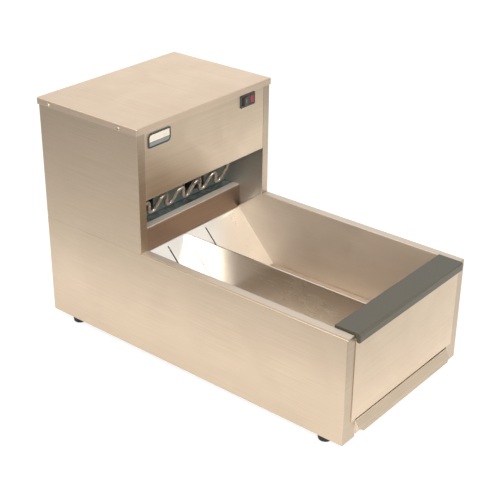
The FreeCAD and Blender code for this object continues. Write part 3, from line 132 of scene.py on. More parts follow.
# %% [markdown]
# The sheet is a metal, and its reflections are stretched across the grain. Three things keep it from looking
# new and flat: smudges as wide as a hand change its gloss, a slow swell of the thin sheet bends its
# reflections, and bends and cut edges are painted lighter, a painted highlight with a little wear, so that each fold
# is drawn as a fine bright line.

# %% Brushed sheet
SMUDGE = 90.0           # mm
WAVE = 260.0            # mm, from crest to crest of the swell
EDGE_RADIUS = 0.0011    # m, how far the painted edge highlight reaches
# The pale colour mixed into bends and cut edges: a painted highlight, with a little wear.
EDGE_HIGHLIGHT_AND_WEAR = "#E6DACA"


def brushed_steel(name, dark, light, roughness, stretch=0.5, scratch=0.05, wave=0.25, turned=1.0, metal=1.0):
    """Belt-ground stainless sheet. dark and light are the troughs and crests of its scratches, stretch draws
    its reflections out, scratch and wave are the strengths of its relief, turned darkens the faces that look
    forward as painted shade, and metal is below 1 where the sheet is made nearly matt."""
    material, tree, shader = new_material(name)
    place, grain, along, forward = brushed_grain(tree)
    smudge = add_node(tree, "ShaderNodeTexNoise", {
        "Vector": place, "Scale": per_metre(SMUDGE), "Detail": 5.0, "Roughness": 0.62, "Distortion": 0.6})
    ground = add_node(tree, "ShaderNodeMix", {0: grain, 6: linear(dark), 7: linear(light)}, data_type="RGBA")
    # Faces that look forward are darkened here: painted shade.
    painted_forward_shade = add_node(tree, "ShaderNodeMapRange", {
        "Value": forward, "From Min": 0.0, "From Max": 1.0, "To Min": 1.0, "To Max": turned})
    tone = add_node(tree, "ShaderNodeVectorMath", {0: ground.outputs[2], 3: painted_forward_shade.outputs[0]},
                    operation="SCALE")
    dulled = add_node(tree, "ShaderNodeMapRange", {
        "Value": smudge.outputs["Fac"], "From Min": 0.3, "From Max": 0.7,
        "To Min": roughness - 0.05, "To Max": roughness + 0.07})
    gloss = add_node(tree, "ShaderNodeMath", {0: grain, 1: 0.16, 2: dulled.outputs[0]}, operation="MULTIPLY_ADD")
    bent = add_node(tree, "ShaderNodeBevel", {"Radius": EDGE_RADIUS}, samples=4)
    flat = add_node(tree, "ShaderNodeNewGeometry")
    same = add_node(tree, "ShaderNodeVectorMath", {0: bent.outputs[0], 1: flat.outputs["Normal"]},
                    operation="DOT_PRODUCT")
    edge = add_node(tree, "ShaderNodeMapRange", {
        "Value": same.outputs["Value"], "From Min": 0.99, "From Max": 0.80, "To Min": 0.0, "To Max": 0.6})
    # Bends and cut edges are mixed towards the pale edge colour: a painted highlight, with a little wear.
    edge_highlight_and_wear = add_node(tree, "ShaderNodeMix", {0: edge.outputs[0], 6: tone.outputs[0], 7: linear(EDGE_HIGHLIGHT_AND_WEAR)},
                      data_type="RGBA")
    swell = add_node(tree, "ShaderNodeTexNoise", {"Vector": place, "Scale": per_metre(WAVE), "Detail": 1.0})
    wavy = add_node(tree, "ShaderNodeBump", {"Height": swell.outputs["Fac"], "Strength": wave, "Distance": 0.004})
    scratched = add_node(tree, "ShaderNodeBump", {
        "Height": grain, "Normal": wavy.outputs[0], "Strength": scratch, "Distance": 0.0004})
    for socket, source in (("Base Color", edge_highlight_and_wear.outputs[2]), ("Roughness", gloss.outputs[0]),
                           ("Normal", scratched.outputs[0]), ("Tangent", along)):
        tree.links.new(source, shader.inputs[socket])
    shader.inputs["Metallic"].default_value = metal
    shader.inputs["Anisotropic"].default_value = stretch
    return material


print("smudge and swell in mm:", SMUDGE, WAVE)

# %% [markdown]
# One function, but each sheet has a finish of its own, and the eye tells them apart by their gloss:
#
# - The shell is ground with a medium belt. It is satin, and it shows the floor as a soft glow.
# - The folded sides are painted darker than the shell, and their jambs, which look forward, darker still than the
#   panels between: painted shade.
# - The cover is the same sheet with a more open grind, so it is more even from above, and it is painted lighter:
#   painted light on the top.
# - The front wall and the floor of the bins are finer and duller. The walls beside them are worn by scoops,
#   which spreads their reflections until only light and shade are left.
# - The ramp is finely polished and pale, so it turns nearly white where it shows the lit wall beside it.
# - The divider is bright rolled sheet, the smoothest of all, with the clearest reflections.

# %% Stainless finishes
FINE = {"stretch": 0.3, "scratch": 0.01, "wave": 0.12}

shell_steel = brushed_steel("brushed_stainless_shell", "#C3B098", "#E4D2BB", 0.30)
# The sides are painted darker than the shell, and their jambs darker still: painted shade.
side_steel = brushed_steel("brushed_stainless_side_painted_darker", "#BDAA93", "#DDCBB5", 0.30, turned=0.83)
# The cover is painted lighter than the shell: painted light on the top.
cover_steel = brushed_steel("brushed_stainless_cover_painted_lighter", "#CDB8A1", "#EDD8C2", 0.33)
well_steel = brushed_steel("fine_brushed_stainless_well", "#DACDBE", "#E9DED1", 0.44, **FINE)
well_side_steel = brushed_steel("scoop_worn_stainless_well_side", "#D3C6B7", "#E3D8CB", 0.56, **FINE)
ramp_steel = brushed_steel("fine_brushed_stainless_ramp", "#EFEBE4", "#FAF7F2", 0.24, **FINE)
divider_steel = brushed_steel("bright_rolled_stainless_divider", "#DDD5CB", "#EFE9E0", 0.16, stretch=0.2,
                              scratch=0.01, wave=0.1)
print("stainless finishes:", [steel.name for steel in (
    shell_steel, side_steel, cover_steel, well_steel, well_side_steel, ramp_steel, divider_steel)])

# %% [markdown]
# Hot air passes over the sheets inside the tower's mouth. The panel behind the ramp is painted a straw to brown
# tint, a painted reflection, and the panel behind the element and the duct's roof are painted a darker blue grey, a
# painted shade.
# The duct keeps its plain mill finish, greyer and duller than the ground shell. The flange on top of the panel is
# painted pale and nearly matt, so it catches light from all round and shows as a pale band in the dark mouth.

# %% Painted reflection, painted shade, mill-finish and pale flange stainless
SMOOTH = {"scratch": 0.02, "wave": 0.15}

# The straw to brown colour of this sheet is a painted reflection.
painted_reflection_steel = brushed_steel("heat_tinted_stainless", "#AC9483", "#CBB5A4", 0.34, **SMOOTH)
# The darker blue grey of the blower panel and the duct's roof is painted shade.
painted_shade_steel = brushed_steel("steel_with_painted_shade", "#7F8B88", "#A5B0AD", 0.42, **SMOOTH)
duct_steel = brushed_steel("mill_finish_stainless_duct", "#BAB5AE", "#D1CEC8", 0.40, **SMOOTH)
# The pale, nearly matt flange is painted lighter, in place of the light that it would reflect.
flange_steel = brushed_steel("stainless_flange_painted_pale", "#DCD3C5", "#EEE7DB", 0.55, metal=0.10, **SMOOTH)
print("finishes in the mouth:", [steel.name for steel in (painted_reflection_steel, painted_shade_steel, duct_steel, flange_steel)])

# %% [markdown]
# ## Galvanised sheet
# Sheets that never show are galvanised: zinc freezes on them in flat crystals, the spangle, 5 to 15 mm
# across. Each crystal has its own grey and its own gloss, so a cell pattern drives both.

# %% Galvanised spangle
SPANGLE = 9.0   # mm


def galvanised(name):
    """Hot-dip zinc with a spangle."""
    material, tree, shader = new_material(name)
    place = add_node(tree, "ShaderNodeTexCoord").outputs["Object"]
    cells = add_node(tree, "ShaderNodeTexVoronoi", {"Vector": place, "Scale": per_metre(SPANGLE)})
    grey = add_node(tree, "ShaderNodeSeparateColor", {0: cells.outputs["Color"]})
    tone = add_node(tree, "ShaderNodeMix", {0: grey.outputs[0], 6: linear("#8E9293"), 7: linear("#BFC3C4")},
                    data_type="RGBA")
    gloss = add_node(tree, "ShaderNodeMapRange", {"Value": grey.outputs[1], "To Min": 0.30, "To Max": 0.52})
    tree.links.new(tone.outputs[2], shader.inputs["Base Color"])
    tree.links.new(gloss.outputs[0], shader.inputs["Roughness"])
    shader.inputs["Metallic"].default_value = 1.0
    return material


zinc_sheet = galvanised("hot_dip_galvanised_sheet")
print("spangle size in mm:", SPANGLE)

# %% [markdown]
# ## Small metal parts
# Screws are bright zinc plated, the shaft is ground, the bushes are sintered bronze. They are small, so one
# function makes them all from a base colour, a roughness and a fine grit that keeps the gloss uneven. The grit
# is drawn 1 to 2 mm wide, coarser than it is, because a pixel couldn't show it otherwise.

# %% Plated, ground and sintered parts
def small_metal(name, dark, light, roughness, grit):
    """A small machined or plated part with an uneven gloss. grit is its feature size in millimetres."""
    material, tree, shader = new_material(name)
    place = add_node(tree, "ShaderNodeTexCoord").outputs["Object"]
    noise = add_node(tree, "ShaderNodeTexNoise", {"Vector": place, "Scale": per_metre(grit), "Detail": 4.0})
    tone = add_node(tree, "ShaderNodeMix", {0: noise.outputs["Fac"], 6: linear(dark), 7: linear(light)},
                    data_type="RGBA")
    gloss = add_node(tree, "ShaderNodeMapRange", {
        "Value": noise.outputs["Fac"], "To Min": roughness - 0.06, "To Max": roughness + 0.10})
    bump = add_node(tree, "ShaderNodeBump", {"Height": noise.outputs["Fac"], "Strength": 0.08, "Distance": 0.0003})
    tree.links.new(tone.outputs[2], shader.inputs["Base Color"])
    tree.links.new(gloss.outputs[0], shader.inputs["Roughness"])
    tree.links.new(bump.outputs[0], shader.inputs["Normal"])
    shader.inputs["Metallic"].default_value = 1.0
    return material


zinc_screw = small_metal("bright_zinc_plated_screw", "#B5AA98", "#E4DCCD", 0.24, 1.5)
ground_shaft = small_metal("ground_steel_shaft", "#9C9C9C", "#C8C8C8", 0.22, 1.0)
bronze = small_metal("sintered_bronze_bush", "#8C6B3F", "#B58E58", 0.42, 0.8)
print("small metals:", zinc_screw.name, ground_shaft.name, bronze.name)

# %% [markdown]
# The heating element is a steel sheath round packed powder and a wire. In use it oxidises to a warm brown
# grey with lighter patches. The oxide is thin, so the tube is a little less of a metal than bare steel, and it
# keeps a bright line of light along each leg.

# %% Oxidised element sheath
OXIDE_CLOUD = 22.0  # mm
OXIDE_GRIT = 0.9    # mm


def element_sheath(name):
    """A drawn steel tube, oxidised by heat in cloudy patches."""
    material, tree, shader = new_material(name)
    place = add_node(tree, "ShaderNodeTexCoord").outputs["Object"]
    cloud = add_node(tree, "ShaderNodeTexNoise", {
        "Vector": place, "Scale": per_metre(OXIDE_CLOUD), "Detail": 6.0, "Roughness": 0.65})
    tone = add_node(tree, "ShaderNodeValToRGB", {"Fac": cloud.outputs["Fac"]})
    stops = tone.color_ramp.elements
    stops[0].position, stops[0].color = 0.30, linear("#968C80")
    stops[1].position, stops[1].color = 0.68, linear("#DCD4C8")
    grit = add_node(tree, "ShaderNodeTexNoise", {"Vector": place, "Scale": per_metre(OXIDE_GRIT), "Detail": 3.0})
    gloss = add_node(tree, "ShaderNodeMapRange", {"Value": grit.outputs["Fac"], "To Min": 0.18, "To Max": 0.36})
    bump = add_node(tree, "ShaderNodeBump", {"Height": grit.outputs["Fac"], "Strength": 0.12, "Distance": 0.0002})
    tree.links.new(tone.outputs[0], shader.inputs["Base Color"])
    tree.links.new(gloss.outputs[0], shader.inputs["Roughness"])
    tree.links.new(bump.outputs[0], shader.inputs["Normal"])
    shader.inputs["Metallic"].default_value = 0.8
    return material


sheath = element_sheath("oxidised_steel_sheath")
print("element finish:", sheath.name)

# %% [markdown]
# ## Moulded, enamelled and ceramic parts
# The ledge is moulded in dark grey with a fine spark texture, which spreads each highlight to a soft sheen.
# The feet are matt rubber and stay dark, the switch is nylon, the motor is enamelled and the terminals are
# fired steatite. None of them is a metal. Each has its own gloss, a slight change of shade over a few
# centimetres, and a grain. Mould textures are 0.1 to 0.3 mm deep and wide, so the grain is drawn coarser, at
# 1 to 2.5 mm.

# %% Moulded and glazed parts
SHADE_CHANGE = 60.0     # mm


def moulded(name, dark, light, roughness, grit, depth, index=1.5):
    """A moulded, painted or fired part. grit is its texture in millimetres, depth how strongly it shows."""
    material, tree, shader = new_material(name)
    place = add_node(tree, "ShaderNodeTexCoord").outputs["Object"]
    cloud = add_node(tree, "ShaderNodeTexNoise", {
        "Vector": place, "Scale": per_metre(SHADE_CHANGE), "Detail": 5.0, "Roughness": 0.6})
    grain = add_node(tree, "ShaderNodeTexNoise", {"Vector": place, "Scale": per_metre(grit), "Detail": 2.0})
    tone = add_node(tree, "ShaderNodeMix", {0: cloud.outputs["Fac"], 6: linear(dark), 7: linear(light)},
                    data_type="RGBA")
    gloss = add_node(tree, "ShaderNodeMapRange", {
        "Value": cloud.outputs["Fac"], "From Min": 0.3, "From Max": 0.7,
        "To Min": roughness - 0.05, "To Max": roughness + 0.06})
    bump = add_node(tree, "ShaderNodeBump", {
        "Height": grain.outputs["Fac"], "Strength": depth, "Distance": 0.0003})
    tree.links.new(tone.outputs[2], shader.inputs["Base Color"])
    tree.links.new(gloss.outputs[0], shader.inputs["Roughness"])
    tree.links.new(bump.outputs[0], shader.inputs["Normal"])
    shader.inputs["IOR"].default_value = index
    return material


ledge_plastic = moulded("spark_textured_moulded_ledge", "#4A473D", "#5B5749", 0.42, 1.8, 0.25, 1.49)
foot_rubber = moulded("matt_moulded_rubber", "#191817", "#262422", 0.72, 1.5, 0.35, 1.52)
switch_nylon = moulded("fine_textured_moulded_nylon", "#343330", "#464440", 0.40, 1.2, 0.15, 1.53)
motor_enamel = moulded("sprayed_enamel_on_steel", "#161718", "#232527", 0.35, 2.5, 0.10)
steatite = moulded("fired_steatite_ceramic", "#D3CCBA", "#E4DECF", 0.30, 1.5, 0.10, 1.58)
phenolic = moulded("moulded_phenolic_resin", "#2A1C14", "#3A281D", 0.36, 1.2, 0.12, 1.6)
badge_enamel = moulded("charcoal_enamel_on_a_plate", "#34393A", "#424849", 0.26, 2.0, 0.06)
badge_field = moulded("ivory_enamel_inlay", "#D9D2C4", "#E9E3D6", 0.30, 2.0, 0.05)
badge_strip = moulded("grey_enamel_inlay", "#7E8382", "#8F9493", 0.30, 2.0, 0.05)
mark_paint = moulded("pad_printed_mark", "#BDB7AC", "#D2CCC1", 0.45, 1.0, 0.05)
print("moulded finishes:", ledge_plastic.name, foot_rubber.name, switch_nylon.name)

# %% [markdown]
# The right end of the rocker is a red polycarbonate window with a neon lamp behind it. Its surface is glossy
# and deep in colour, soft ribs inside it spread the lamp's light, and it glows weakly.

# %% Lit red window
RIBS = 12.0     # mm


def lit_window(name):
    """Glossy red polycarbonate with soft ribs and a small lamp behind it."""
    material, tree, shader = new_material(name)
    place = add_node(tree, "ShaderNodeTexCoord").outputs["Object"]
    ribs = add_node(tree, "ShaderNodeTexWave", {"Vector": place, "Scale": per_metre(RIBS), "Distortion": 0.4},
                    bands_direction="X")
    tone = add_node(tree, "ShaderNodeMix", {0: ribs.outputs["Fac"], 6: linear("#6A0F18"), 7: linear("#A31B26")},
                    data_type="RGBA")
    tree.links.new(tone.outputs[2], shader.inputs["Base Color"])
    tree.links.new(tone.outputs[2], shader.inputs["Emission Color"])
    shader.inputs["Emission Strength"].default_value = 0.35
    shader.inputs["Roughness"].default_value = 0.16
    shader.inputs["IOR"].default_value = 1.58
    return material


red_window = lit_window("clear_red_polycarbonate_window")
print("window finish:", red_window.name)

# %% [markdown]
# ## Give each solid its surface
# A CAD solid keeps its mesh, and only its material slots change. Most solids also get a hair-fine bevel, so
# that their cut edges catch light as deburred edges do. The file format splits a mesh along its sharp edges,
# so the vertices are welded before the bevel. Sheets with punched holes go without it, because a bevel would
# draw a false line from each hole over their flat faces. The return panel has two finishes: its flange, which
# looks up, gets the pale, nearly matt one, painted lighter in place of the light that it would reflect.

# %% Finishes by node
FINISHES = {
    shell_steel: ["base_rear_panel", "tower_rear_panel", "front_panel", "control_panel", "crumb_tray"],
    side_steel: ["base_side_left", "base_side_right", "tower_side_left", "tower_side_right"],
    cover_steel: ["top_cover"],
    well_steel: ["well_front_wall", "perforated_floor"],
    well_side_steel: ["well_side_left", "well_side_right"],
    divider_steel: ["divider"],
    ramp_steel: ["ramp_plate"],
    painted_reflection_steel: ["return_panel"],
    duct_steel: ["duct_side_left", "duct_side_right", "element_hangers"],
    painted_shade_steel: ["blower_panel", "duct_roof"],
    zinc_sheet: ["base_floor_pan", "plenum_deck", "tray_runner_left", "tray_runner_right",
                 "panel_backing_strips", "blower_housing_left", "blower_housing_right",
                 "blower_wheel_plate_left", "blower_wheel_plate_right", "blower_blades_left",
                 "blower_blades_right", "blower_wheel_ring_left", "blower_wheel_ring_right",
                 "motor_pedestal"],
    zinc_screw: ["cover_screws", "rear_panel_screws", "foot_screws"],
    ground_shaft: ["motor_shaft"],
    bronze: ["motor_bushes"],
    sheath: ["heating_element"],
    ledge_plastic: ["front_ledge"],
    foot_rubber: ["rubber_feet"],
    switch_nylon: ["switch_bezel", "switch_rocker", "power_inlet"],
    motor_enamel: ["blower_motor"],
    steatite: ["element_terminals", "terminal_block"],
    phenolic: ["control_thermostat", "high_limit_cutout"],
    badge_enamel: ["badge_plate"],
}
print("finishes:", len(FINISHES))

# %% Surfaces and deburred edges
DEBURRED = 0.0003       # m
WELD = 0.00001          # m
SHARP = math.radians(40)
LOOKS_UP = 0.7          # a normal with more of Z than this
PUNCHED = {"tower_side_left", "tower_side_right", "top_cover", "base_rear_panel", "tower_rear_panel",
           "perforated_floor", "plenum_deck", "ramp_plate"}

for finish, names in FINISHES.items():
    for name in names:
        solid = nodes[name]
        solid.data.materials.clear()
        solid.data.materials.append(finish)
        # The return panel's faces that look up get the pale flange finish, painted lighter.
        if name == "return_panel":
            solid.data.materials.append(flange_steel)
            for face in solid.data.polygons:
                face.material_index = int(face.normal.z > LOOKS_UP)
        if name in PUNCHED:
            continue
        solid.modifiers.new("weld", "WELD").merge_threshold = WELD
        edge = solid.modifiers.new("deburred_edge", "BEVEL")
        edge.width = DEBURRED
        edge.segments = 2
        edge.limit_method = "ANGLE"
        edge.angle_limit = SHARP
        edge.harden_normals = True
bare = sorted(set(nodes) - {name for names in FINISHES.values() for name in names})
print("finished solids:", len(nodes) - len(bare), "still bare:", bare)

# %% [markdown]
# ## Inlays on the badge plate
# The plate on the tower has a raised rim round a sunken field. The field holds enamel: an ivory part above
# a grey strip, with a dark line between them. Each inlay is a thin prism with an outline of its own, and its
# edge is rounded by a hair, so that it catches light as a fired edge does.

# %% A thin prism from an outline
def prism(name, outline, front, back, finish, body, softened=0.0002):
    """A flat inlay that faces -Y: outline is a list of (x, z) in metres, from front to back in y."""
    mesh = bpy.data.meshes.new(name)
    shape = bmesh.new()
    face = shape.faces.new([shape.verts.new((x, front, z)) for x, z in outline])
    pushed = bmesh.ops.extrude_face_region(shape, geom=[face])
    moved = [item for item in pushed["geom"] if isinstance(item, bmesh.types.BMVert)]
    bmesh.ops.translate(shape, verts=moved, vec=(0, back - front, 0))
    bmesh.ops.recalc_face_normals(shape, faces=shape.faces)
    shape.to_mesh(mesh)
    shape.free()
    piece = bpy.data.objects.new(name, mesh)
    bpy.context.scene.collection.objects.link(piece)
    mesh.materials.append(finish)
    rounding = piece.modifiers.new("soft_edge", "BEVEL")
    rounding.width = softened
    rounding.segments = 2
    rounding.limit_method = "ANGLE"
    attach(piece, body)
    return piece


def rounded(low, high, radii, steps=6):
    """A rectangle's outline with its own radius at each corner, from the lower left one anticlockwise."""
    points = []
    corners = ((low[0], low[1], 1, 1, 180), (high[0], low[1], -1, 1, 270),
               (high[0], high[1], -1, -1, 0), (low[0], high[1], 1, -1, 90))
    for (x, z, inward_x, inward_z, start), radius in zip(corners, radii):
        for step in range(steps + 1 if radius else 1):
            angle = math.radians(start + 90 * step / steps)
            points.append((x + inward_x * radius + radius * math.cos(angle),
                           z + inward_z * radius + radius * math.sin(angle)))
    return points


print("points in a rounded outline:", len(rounded((0, 0), (1, 1), (0.1, 0.1, 0.1, 0.1))))

# %% Badge inlays
plate_low, plate_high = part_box("badge_plate")
RIM = 0.0032            # m, and so are the sizes below
STRIP = 0.0068
GROOVE = 0.0008
SUNKEN = 0.0002
INLAY = 0.0004
SMALL_CORNER, LOWER_CORNER, UPPER_CORNER = 0.0012, 0.0055, 0.0062
INLAY_EDGE = 0.00015
field_front = plate_low.y + SUNKEN
field_back = field_front + INLAY
strip_top = plate_low.z + RIM + STRIP
prism("badge_inlay_strip", rounded((plate_low.x + RIM, plate_low.z + RIM), (plate_high.x - RIM, strip_top),
                                   (SMALL_CORNER, LOWER_CORNER, 0, 0)),
      field_front, field_back, badge_strip, "cabinet", INLAY_EDGE)
prism("badge_inlay_field", rounded((plate_low.x + RIM, strip_top + GROOVE),
                                   (plate_high.x - RIM, plate_high.z - RIM), (0, 0, SMALL_CORNER, UPPER_CORNER)),
      field_front, field_back, badge_field, "cabinet", INLAY_EDGE)
print("badge plate in mm:", [round((high - low) * 1000, 1) for low, high in zip(plate_low, plate_high)])

# %% [markdown]
# ## The rocker's window and mark
# The rocker is a shallow V that stands tilted. Its two inlays are drawn in the rocker's own frame, with the
# pivot at the origin, and then turned and moved with the same tilt as the solid. The window is a narrow lens
# near the right end, and the mark is a short upright bar on the left.

# %% Rocker inlays
PIVOT = Vector((0.116, 0.110, 0.440))   # m, the hinge in the frame
TILT = math.radians(8)
CREST = 0.0075          # m, from the pivot to the face at the rocker's ends
VALLEY = 0.0050         # m, and at its middle
HALF = 0.0156           # m, half of the rocker's length
slope = math.atan2(CREST - VALLEY, HALF)


def on_rocker(piece, side):
    """Lays a piece, drawn flat round its own origin, on the rocker's left (-1) or right (1) face."""
    middle = Vector((side * HALF / 2, -(CREST + VALLEY) / 2, 0))
    lean = Matrix.Rotation(-side * slope, 4, "Z")
    tilt = Matrix.Translation(PIVOT) @ Matrix.Rotation(TILT, 4, "Z") @ Matrix.Translation(middle) @ lean
    piece.data.transform(tilt)
    piece.data.update()


window = prism("rocker_window", rounded((-0.0012, -0.0070), (0.0062, 0.0070), (0.0012,) * 4),
               -0.0005, 0.0003, red_window, "rocker")
on_rocker(window, 1)
mark = prism("rocker_mark", rounded((-0.0005, -0.0036), (0.0005, 0.0036), (0.0003,) * 4),
             -0.00018, 0.0002, mark_paint, "rocker", 0.00005)
on_rocker(mark, -1)
print("rocker face slope in degrees:", round(math.degrees(slope), 1))

# %% [markdown]
# ## Edge guard on the divider
# The divider's rear edge follows the ramp at a distance of 5 mm. A folded strip closes most of that gap, so
# that nothing slips through. It rides the divider and moves with it. Its ends are read from the divider's
# mesh: the upper one is its rearmost point, and the lower one its rearmost point at the height of the floor,
# which lies the depth of the tabs above the divider's lowest point.

# %% Edge guard
GUARD_REACH = 0.0042    # m, from the divider's edge towards the ramp
GUARD_HALF = 0.0016     # m, half of its thickness
GUARD_BEND = 0.0006     # m
TAB_DEPTH = 0.0026      # m, a little more than the tabs are deep

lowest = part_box("divider")[0].z
rear = sorted(((v.co.y, v.co.z) for v in nodes["divider"].data.vertices), key=lambda point: point[0])
top_y, top_z = rear[-1]
foot_y = max(y for y, z in rear if z < lowest + TAB_DEPTH)
foot_z = max(z for y, z in rear if y == foot_y)
side_view = [(foot_y, foot_z), (foot_y + GUARD_REACH, foot_z), (top_y + GUARD_REACH, top_z), (top_y, top_z)]
guard_mesh = bpy.data.meshes.new("divider_edge_guard")
guard_mesh.from_pydata([(x, y, z) for x in (-GUARD_HALF, GUARD_HALF) for y, z in side_view], [],
                       [(3, 2, 1, 0), (4, 5, 6, 7), (0, 1, 5, 4), (1, 2, 6, 5), (2, 3, 7, 6), (3, 0, 4, 7)])
guard = bpy.data.objects.new("divider_edge_guard", guard_mesh)
bpy.context.scene.collection.objects.link(guard)
guard_mesh.materials.append(divider_steel)
folded = guard.modifiers.new("folded_edge", "BEVEL")
folded.width = GUARD_BEND
folded.segments = 2
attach(guard, "bin_divider")
print("edge guard's ends in mm:", [[round(value * 1000, 1) for value in end]
                                   for end in ((foot_y, foot_z), (top_y, top_z))])

# %% [markdown]
# ## Floor
# The floor is plain and pale. The camera sees it as white, but a part of that white is lit paint, so the
# contact shadows of the feet and the trough stay.
#
# Reflections see more than that, and it is what shapes the steel. Under studio lamps a floor is brightest
# beside the object and fades with distance. So an upright face, which mirrors the floor, is light at its foot
# and darkens towards its top. A second pool of light lies at the right front, where the front faces look, and
# the strip next to the object is a little darker, since it lies in the object's shade.

# %% Glow of the floor in reflections
FLOOR_HALF = 9                          # m
LIT_LOW, LIT_HIGH = (-0.15, -0.22, 0), (0.60, 0.90, 0)     # m, corners of the evenly lit part
LIT_REACH, LIT_FADE, LIT_GLOW = 0.19, 0.95, 1.05
SIDE_PLACE, SIDE_REACH, SIDE_GLOW = (0.85, -0.55, 0), 0.6, 0.60
SHADE_REACH, SHADE_GLOW = 0.18, 0.75
SEEN_GLOW = 0.80                        # what the camera sees, beside the lit paint

floor_paint = bpy.data.materials.new("matt_white_studio_paint")
floor_paint.use_nodes = True
tree = floor_paint.node_tree
tree.nodes.clear()
path = add_node(tree, "ShaderNodeLightPath")
place = add_node(tree, "ShaderNodeTexCoord").outputs["Object"]
past_high = add_node(tree, "ShaderNodeVectorMath", {0: place, 1: LIT_HIGH}, operation="SUBTRACT")
past_low = add_node(tree, "ShaderNodeVectorMath", {0: LIT_LOW, 1: place}, operation="SUBTRACT")
outside = add_node(tree, "ShaderNodeVectorMath", {0: past_high.outputs[0], 1: past_low.outputs[0]},
                   operation="MAXIMUM")
beyond = add_node(tree, "ShaderNodeVectorMath", {0: outside.outputs[0], 1: (0, 0, 0)}, operation="MAXIMUM")
distance = add_node(tree, "ShaderNodeVectorMath", {0: beyond.outputs[0]}, operation="LENGTH")
away = add_node(tree, "ShaderNodeMath", {0: distance.outputs["Value"], 1: LIT_REACH}, operation="MAXIMUM")
nearness = add_node(tree, "ShaderNodeMath", {0: LIT_REACH, 1: away.outputs[0]}, operation="DIVIDE")
fading = add_node(tree, "ShaderNodeMath", {0: nearness.outputs[0], 1: LIT_FADE}, operation="POWER")
main_pool = add_node(tree, "ShaderNodeMath", {0: fading.outputs[0], 1: LIT_GLOW}, operation="MULTIPLY")
aside = add_node(tree, "ShaderNodeVectorMath", {0: place, 1: SIDE_PLACE}, operation="DISTANCE")
side_pool = add_node(tree, "ShaderNodeMapRange", {
    "Value": aside.outputs["Value"], "From Min": 0.0, "From Max": SIDE_REACH, "To Min": SIDE_GLOW, "To Max": 0.0})
pools = add_node(tree, "ShaderNodeMath", {0: main_pool.outputs[0], 1: side_pool.outputs[0]}, operation="ADD")
shade = add_node(tree, "ShaderNodeMapRange", {
    "Value": distance.outputs["Value"], "From Min": 0.0, "From Max": SHADE_REACH,
    "To Min": SHADE_GLOW, "To Max": 1.0})
shaded = add_node(tree, "ShaderNodeMath", {0: pools.outputs[0], 1: shade.outputs[0]}, operation="MULTIPLY")
print("glow beside the object and 1 m away:", round(LIT_GLOW * SHADE_GLOW, 2),
      round(LIT_GLOW * LIT_REACH ** LIT_FADE, 2))

# %% White floor that keeps shadows
glow_level = add_node(tree, "ShaderNodeMix", {0: path.outputs["Is Camera Ray"], 2: shaded.outputs[0], 3: SEEN_GLOW},
                      data_type="FLOAT")
glow = add_node(tree, "ShaderNodeEmission", {"Color": linear("#FFFFFF"), "Strength": glow_level.outputs[0]})
lit = add_node(tree, "ShaderNodeBsdfDiffuse", {"Color": linear("#9A9A9A")})
white = add_node(tree, "ShaderNodeAddShader", {0: glow.outputs[0], 1: lit.outputs[0]})
plain = add_node(tree, "ShaderNodeBsdfDiffuse", {"Color": linear("#E2DFDA")})
direct = add_node(tree, "ShaderNodeMath", {
    0: path.outputs["Is Camera Ray"], 1: path.outputs["Is Glossy Ray"]}, operation="MAXIMUM")
shown = add_node(tree, "ShaderNodeMath", {0: direct.outputs[0], 1: path.outputs["Is Transmission Ray"]},
                 operation="MAXIMUM")
mixed = add_node(tree, "ShaderNodeMixShader", {0: shown.outputs[0], 1: plain.outputs[0], 2: white.outputs[0]})
add_node(tree, "ShaderNodeOutputMaterial", {"Surface": mixed.outputs[0]})

floor_mesh = bpy.data.meshes.new("studio_floor")
floor_mesh.from_pydata([(x * FLOOR_HALF, y * FLOOR_HALF, 0) for x, y in ((-1, -1), (1, -1), (1, 1), (-1, 1))],
                       [], [(0, 1, 2, 3)])
floor = bpy.data.objects.new("studio_floor", floor_mesh)
bpy.context.scene.collection.objects.link(floor)
floor_mesh.materials.append(floor_paint)
print("floor size in m:", 2 * FLOOR_HALF)

# %% [markdown]
# ## Studio
# Brushed steel shows little colour of its own: it shows the room. The world is white where the camera sees
# it. In reflections it is bright behind the object and a little dimmer in front of it, as in a studio with a
# white wall at its back.

# %% World
BACK_WALL = (0.20, 0.75, 0.0)           # the direction in which the room is bright
ROOM_FRONT, ROOM_BACK = 0.74, 0.97      # its levels in reflections
ROOM_LIGHT = 0.62                       # its level as a light

world = bpy.data.worlds.new("studio")
bpy.context.scene.world = world
world.use_nodes = True
tree = world.node_tree
tree.nodes.clear()
path = add_node(tree, "ShaderNodeLightPath")
direction = add_node(tree, "ShaderNodeTexCoord").outputs["Generated"]
facing = add_node(tree, "ShaderNodeVectorMath", {0: direction, 1: BACK_WALL}, operation="DOT_PRODUCT")
level = add_node(tree, "ShaderNodeMapRange", {
    "Value": facing.outputs["Value"], "From Min": -0.3, "From Max": 0.5, "To Min": ROOM_FRONT, "To Max": ROOM_BACK},
    interpolation_type="SMOOTHSTEP")
mirrored = add_node(tree, "ShaderNodeMix", {0: path.outputs["Is Glossy Ray"], 2: ROOM_LIGHT, 3: level.outputs[0]},
                    data_type="FLOAT")
open_view = add_node(tree, "ShaderNodeMath", {
    0: path.outputs["Is Camera Ray"], 1: path.outputs["Is Transmission Ray"]}, operation="MAXIMUM")
strength = add_node(tree, "ShaderNodeMix", {0: open_view.outputs[0], 2: mirrored.outputs[0], 3: 1.0},
                    data_type="FLOAT")
sky = add_node(tree, "ShaderNodeBackground", {"Color": linear("#FFFFFF"), "Strength": strength.outputs[0]})
add_node(tree, "ShaderNodeOutputWorld", {"Surface": sky.outputs[0]})
print("world:", world.name)

# %% [markdown]
# Five soft boxes add the light that has a direction. The strongest one stands beside the camera. In the corner
# of ramp and wall, and in that of ramp and divider, its light is reflected twice and comes back to the eye, so
# these sheets turn nearly white while the rest stays satin. Two broad fills, from the top left and from the
# front, light the cover, the ledge and the mouth. A weak key at the right front and a weak glow at the rear
# right draw the edges of the rails and jambs.

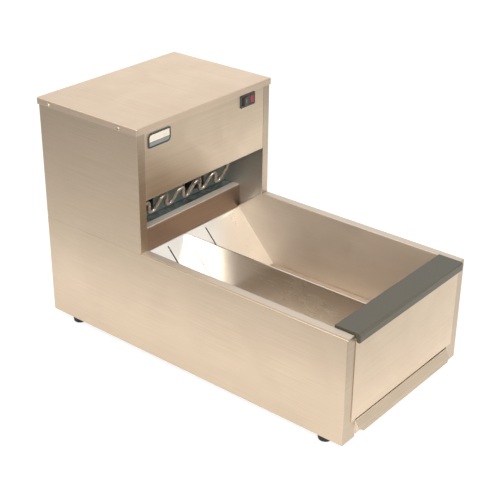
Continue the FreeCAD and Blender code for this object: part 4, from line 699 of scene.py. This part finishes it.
# %% Lamps
def soft_box(name, place, target, size, watts, tint):
    """A rectangular area lamp that faces a target."""
    lamp = bpy.data.lights.new(name, "AREA")
    lamp.shape = "RECTANGLE"
    lamp.size, lamp.size_y = size
    lamp.energy = watts
    lamp.color = linear(tint)[:3]
    holder = bpy.data.objects.new(name, lamp)
    bpy.context.scene.collection.objects.link(holder)
    holder.location = place
    holder.rotation_euler = (Vector(target) - Vector(place)).to_track_quat("-Z", "Y").to_euler()
    return holder


soft_box("key_right_front", (1.85, -0.95, 1.65), (0.15, 0.1, 0.15), (0.7, 1.0), 1.2, "#FFF4E4")
soft_box("rear_right_glow", (1.54, 1.63, 1.07), (0.10, 0.3, 0.45), (1.0, 0.7), 0.8, "#FFF6EA")
soft_box("camera_side_softbox", (-1.90, -1.27, 1.65), (0.1, 0.1, 0.15), (1.0, 0.8), 29, "#FFFAF2")
soft_box("top_left_fill", (-1.1, 0.3, 1.9), (0, 0, 0.2), (1.4, 1.2), 12, "#FFF8F0")
soft_box("front_fill", (-0.3, -1.9, 0.85), (0, 0.15, 0.26), (1.3, 0.8), 14, "#FFFAF4")

# %% [markdown]
# ## Camera
# The view was fitted to the picture's corners: the eye stands left of the front, a little over a metre up,
# and looks down at the trough with a long lens. Its frame is square.

# %% Camera
EYE = Vector((-1.4526, -1.1735, 1.1607))                                        # m
YAW, PITCH, ROLL = math.radians(51.02), math.radians(27.25), 0.0129             # radians
FOCAL_LENGTH, FRAME = 1116.96, 500                                              # pixels
SENSOR = 36                                                                     # mm

ahead = Vector((math.sin(YAW) * math.cos(PITCH), math.cos(YAW) * math.cos(PITCH), -math.sin(PITCH)))
right = Vector((math.cos(YAW), -math.sin(YAW), 0))
upward = right.cross(ahead)
level_right = right * math.cos(ROLL) + upward * math.sin(ROLL)
level_up = upward * math.cos(ROLL) - right * math.sin(ROLL)
lens = bpy.data.cameras.new("picture_view")
lens.sensor_fit = "HORIZONTAL"
lens.sensor_width = SENSOR
lens.lens = FOCAL_LENGTH / FRAME * SENSOR
eye = bpy.data.objects.new("picture_view", lens)
bpy.context.scene.collection.objects.link(eye)
eye.matrix_world = Matrix.Translation(EYE) @ Matrix((level_right, level_up, -ahead)).transposed().to_4x4()
bpy.context.scene.camera = eye
bpy.context.scene.view_settings.view_transform = "Standard"
print("lens in mm:", round(lens.lens, 1))
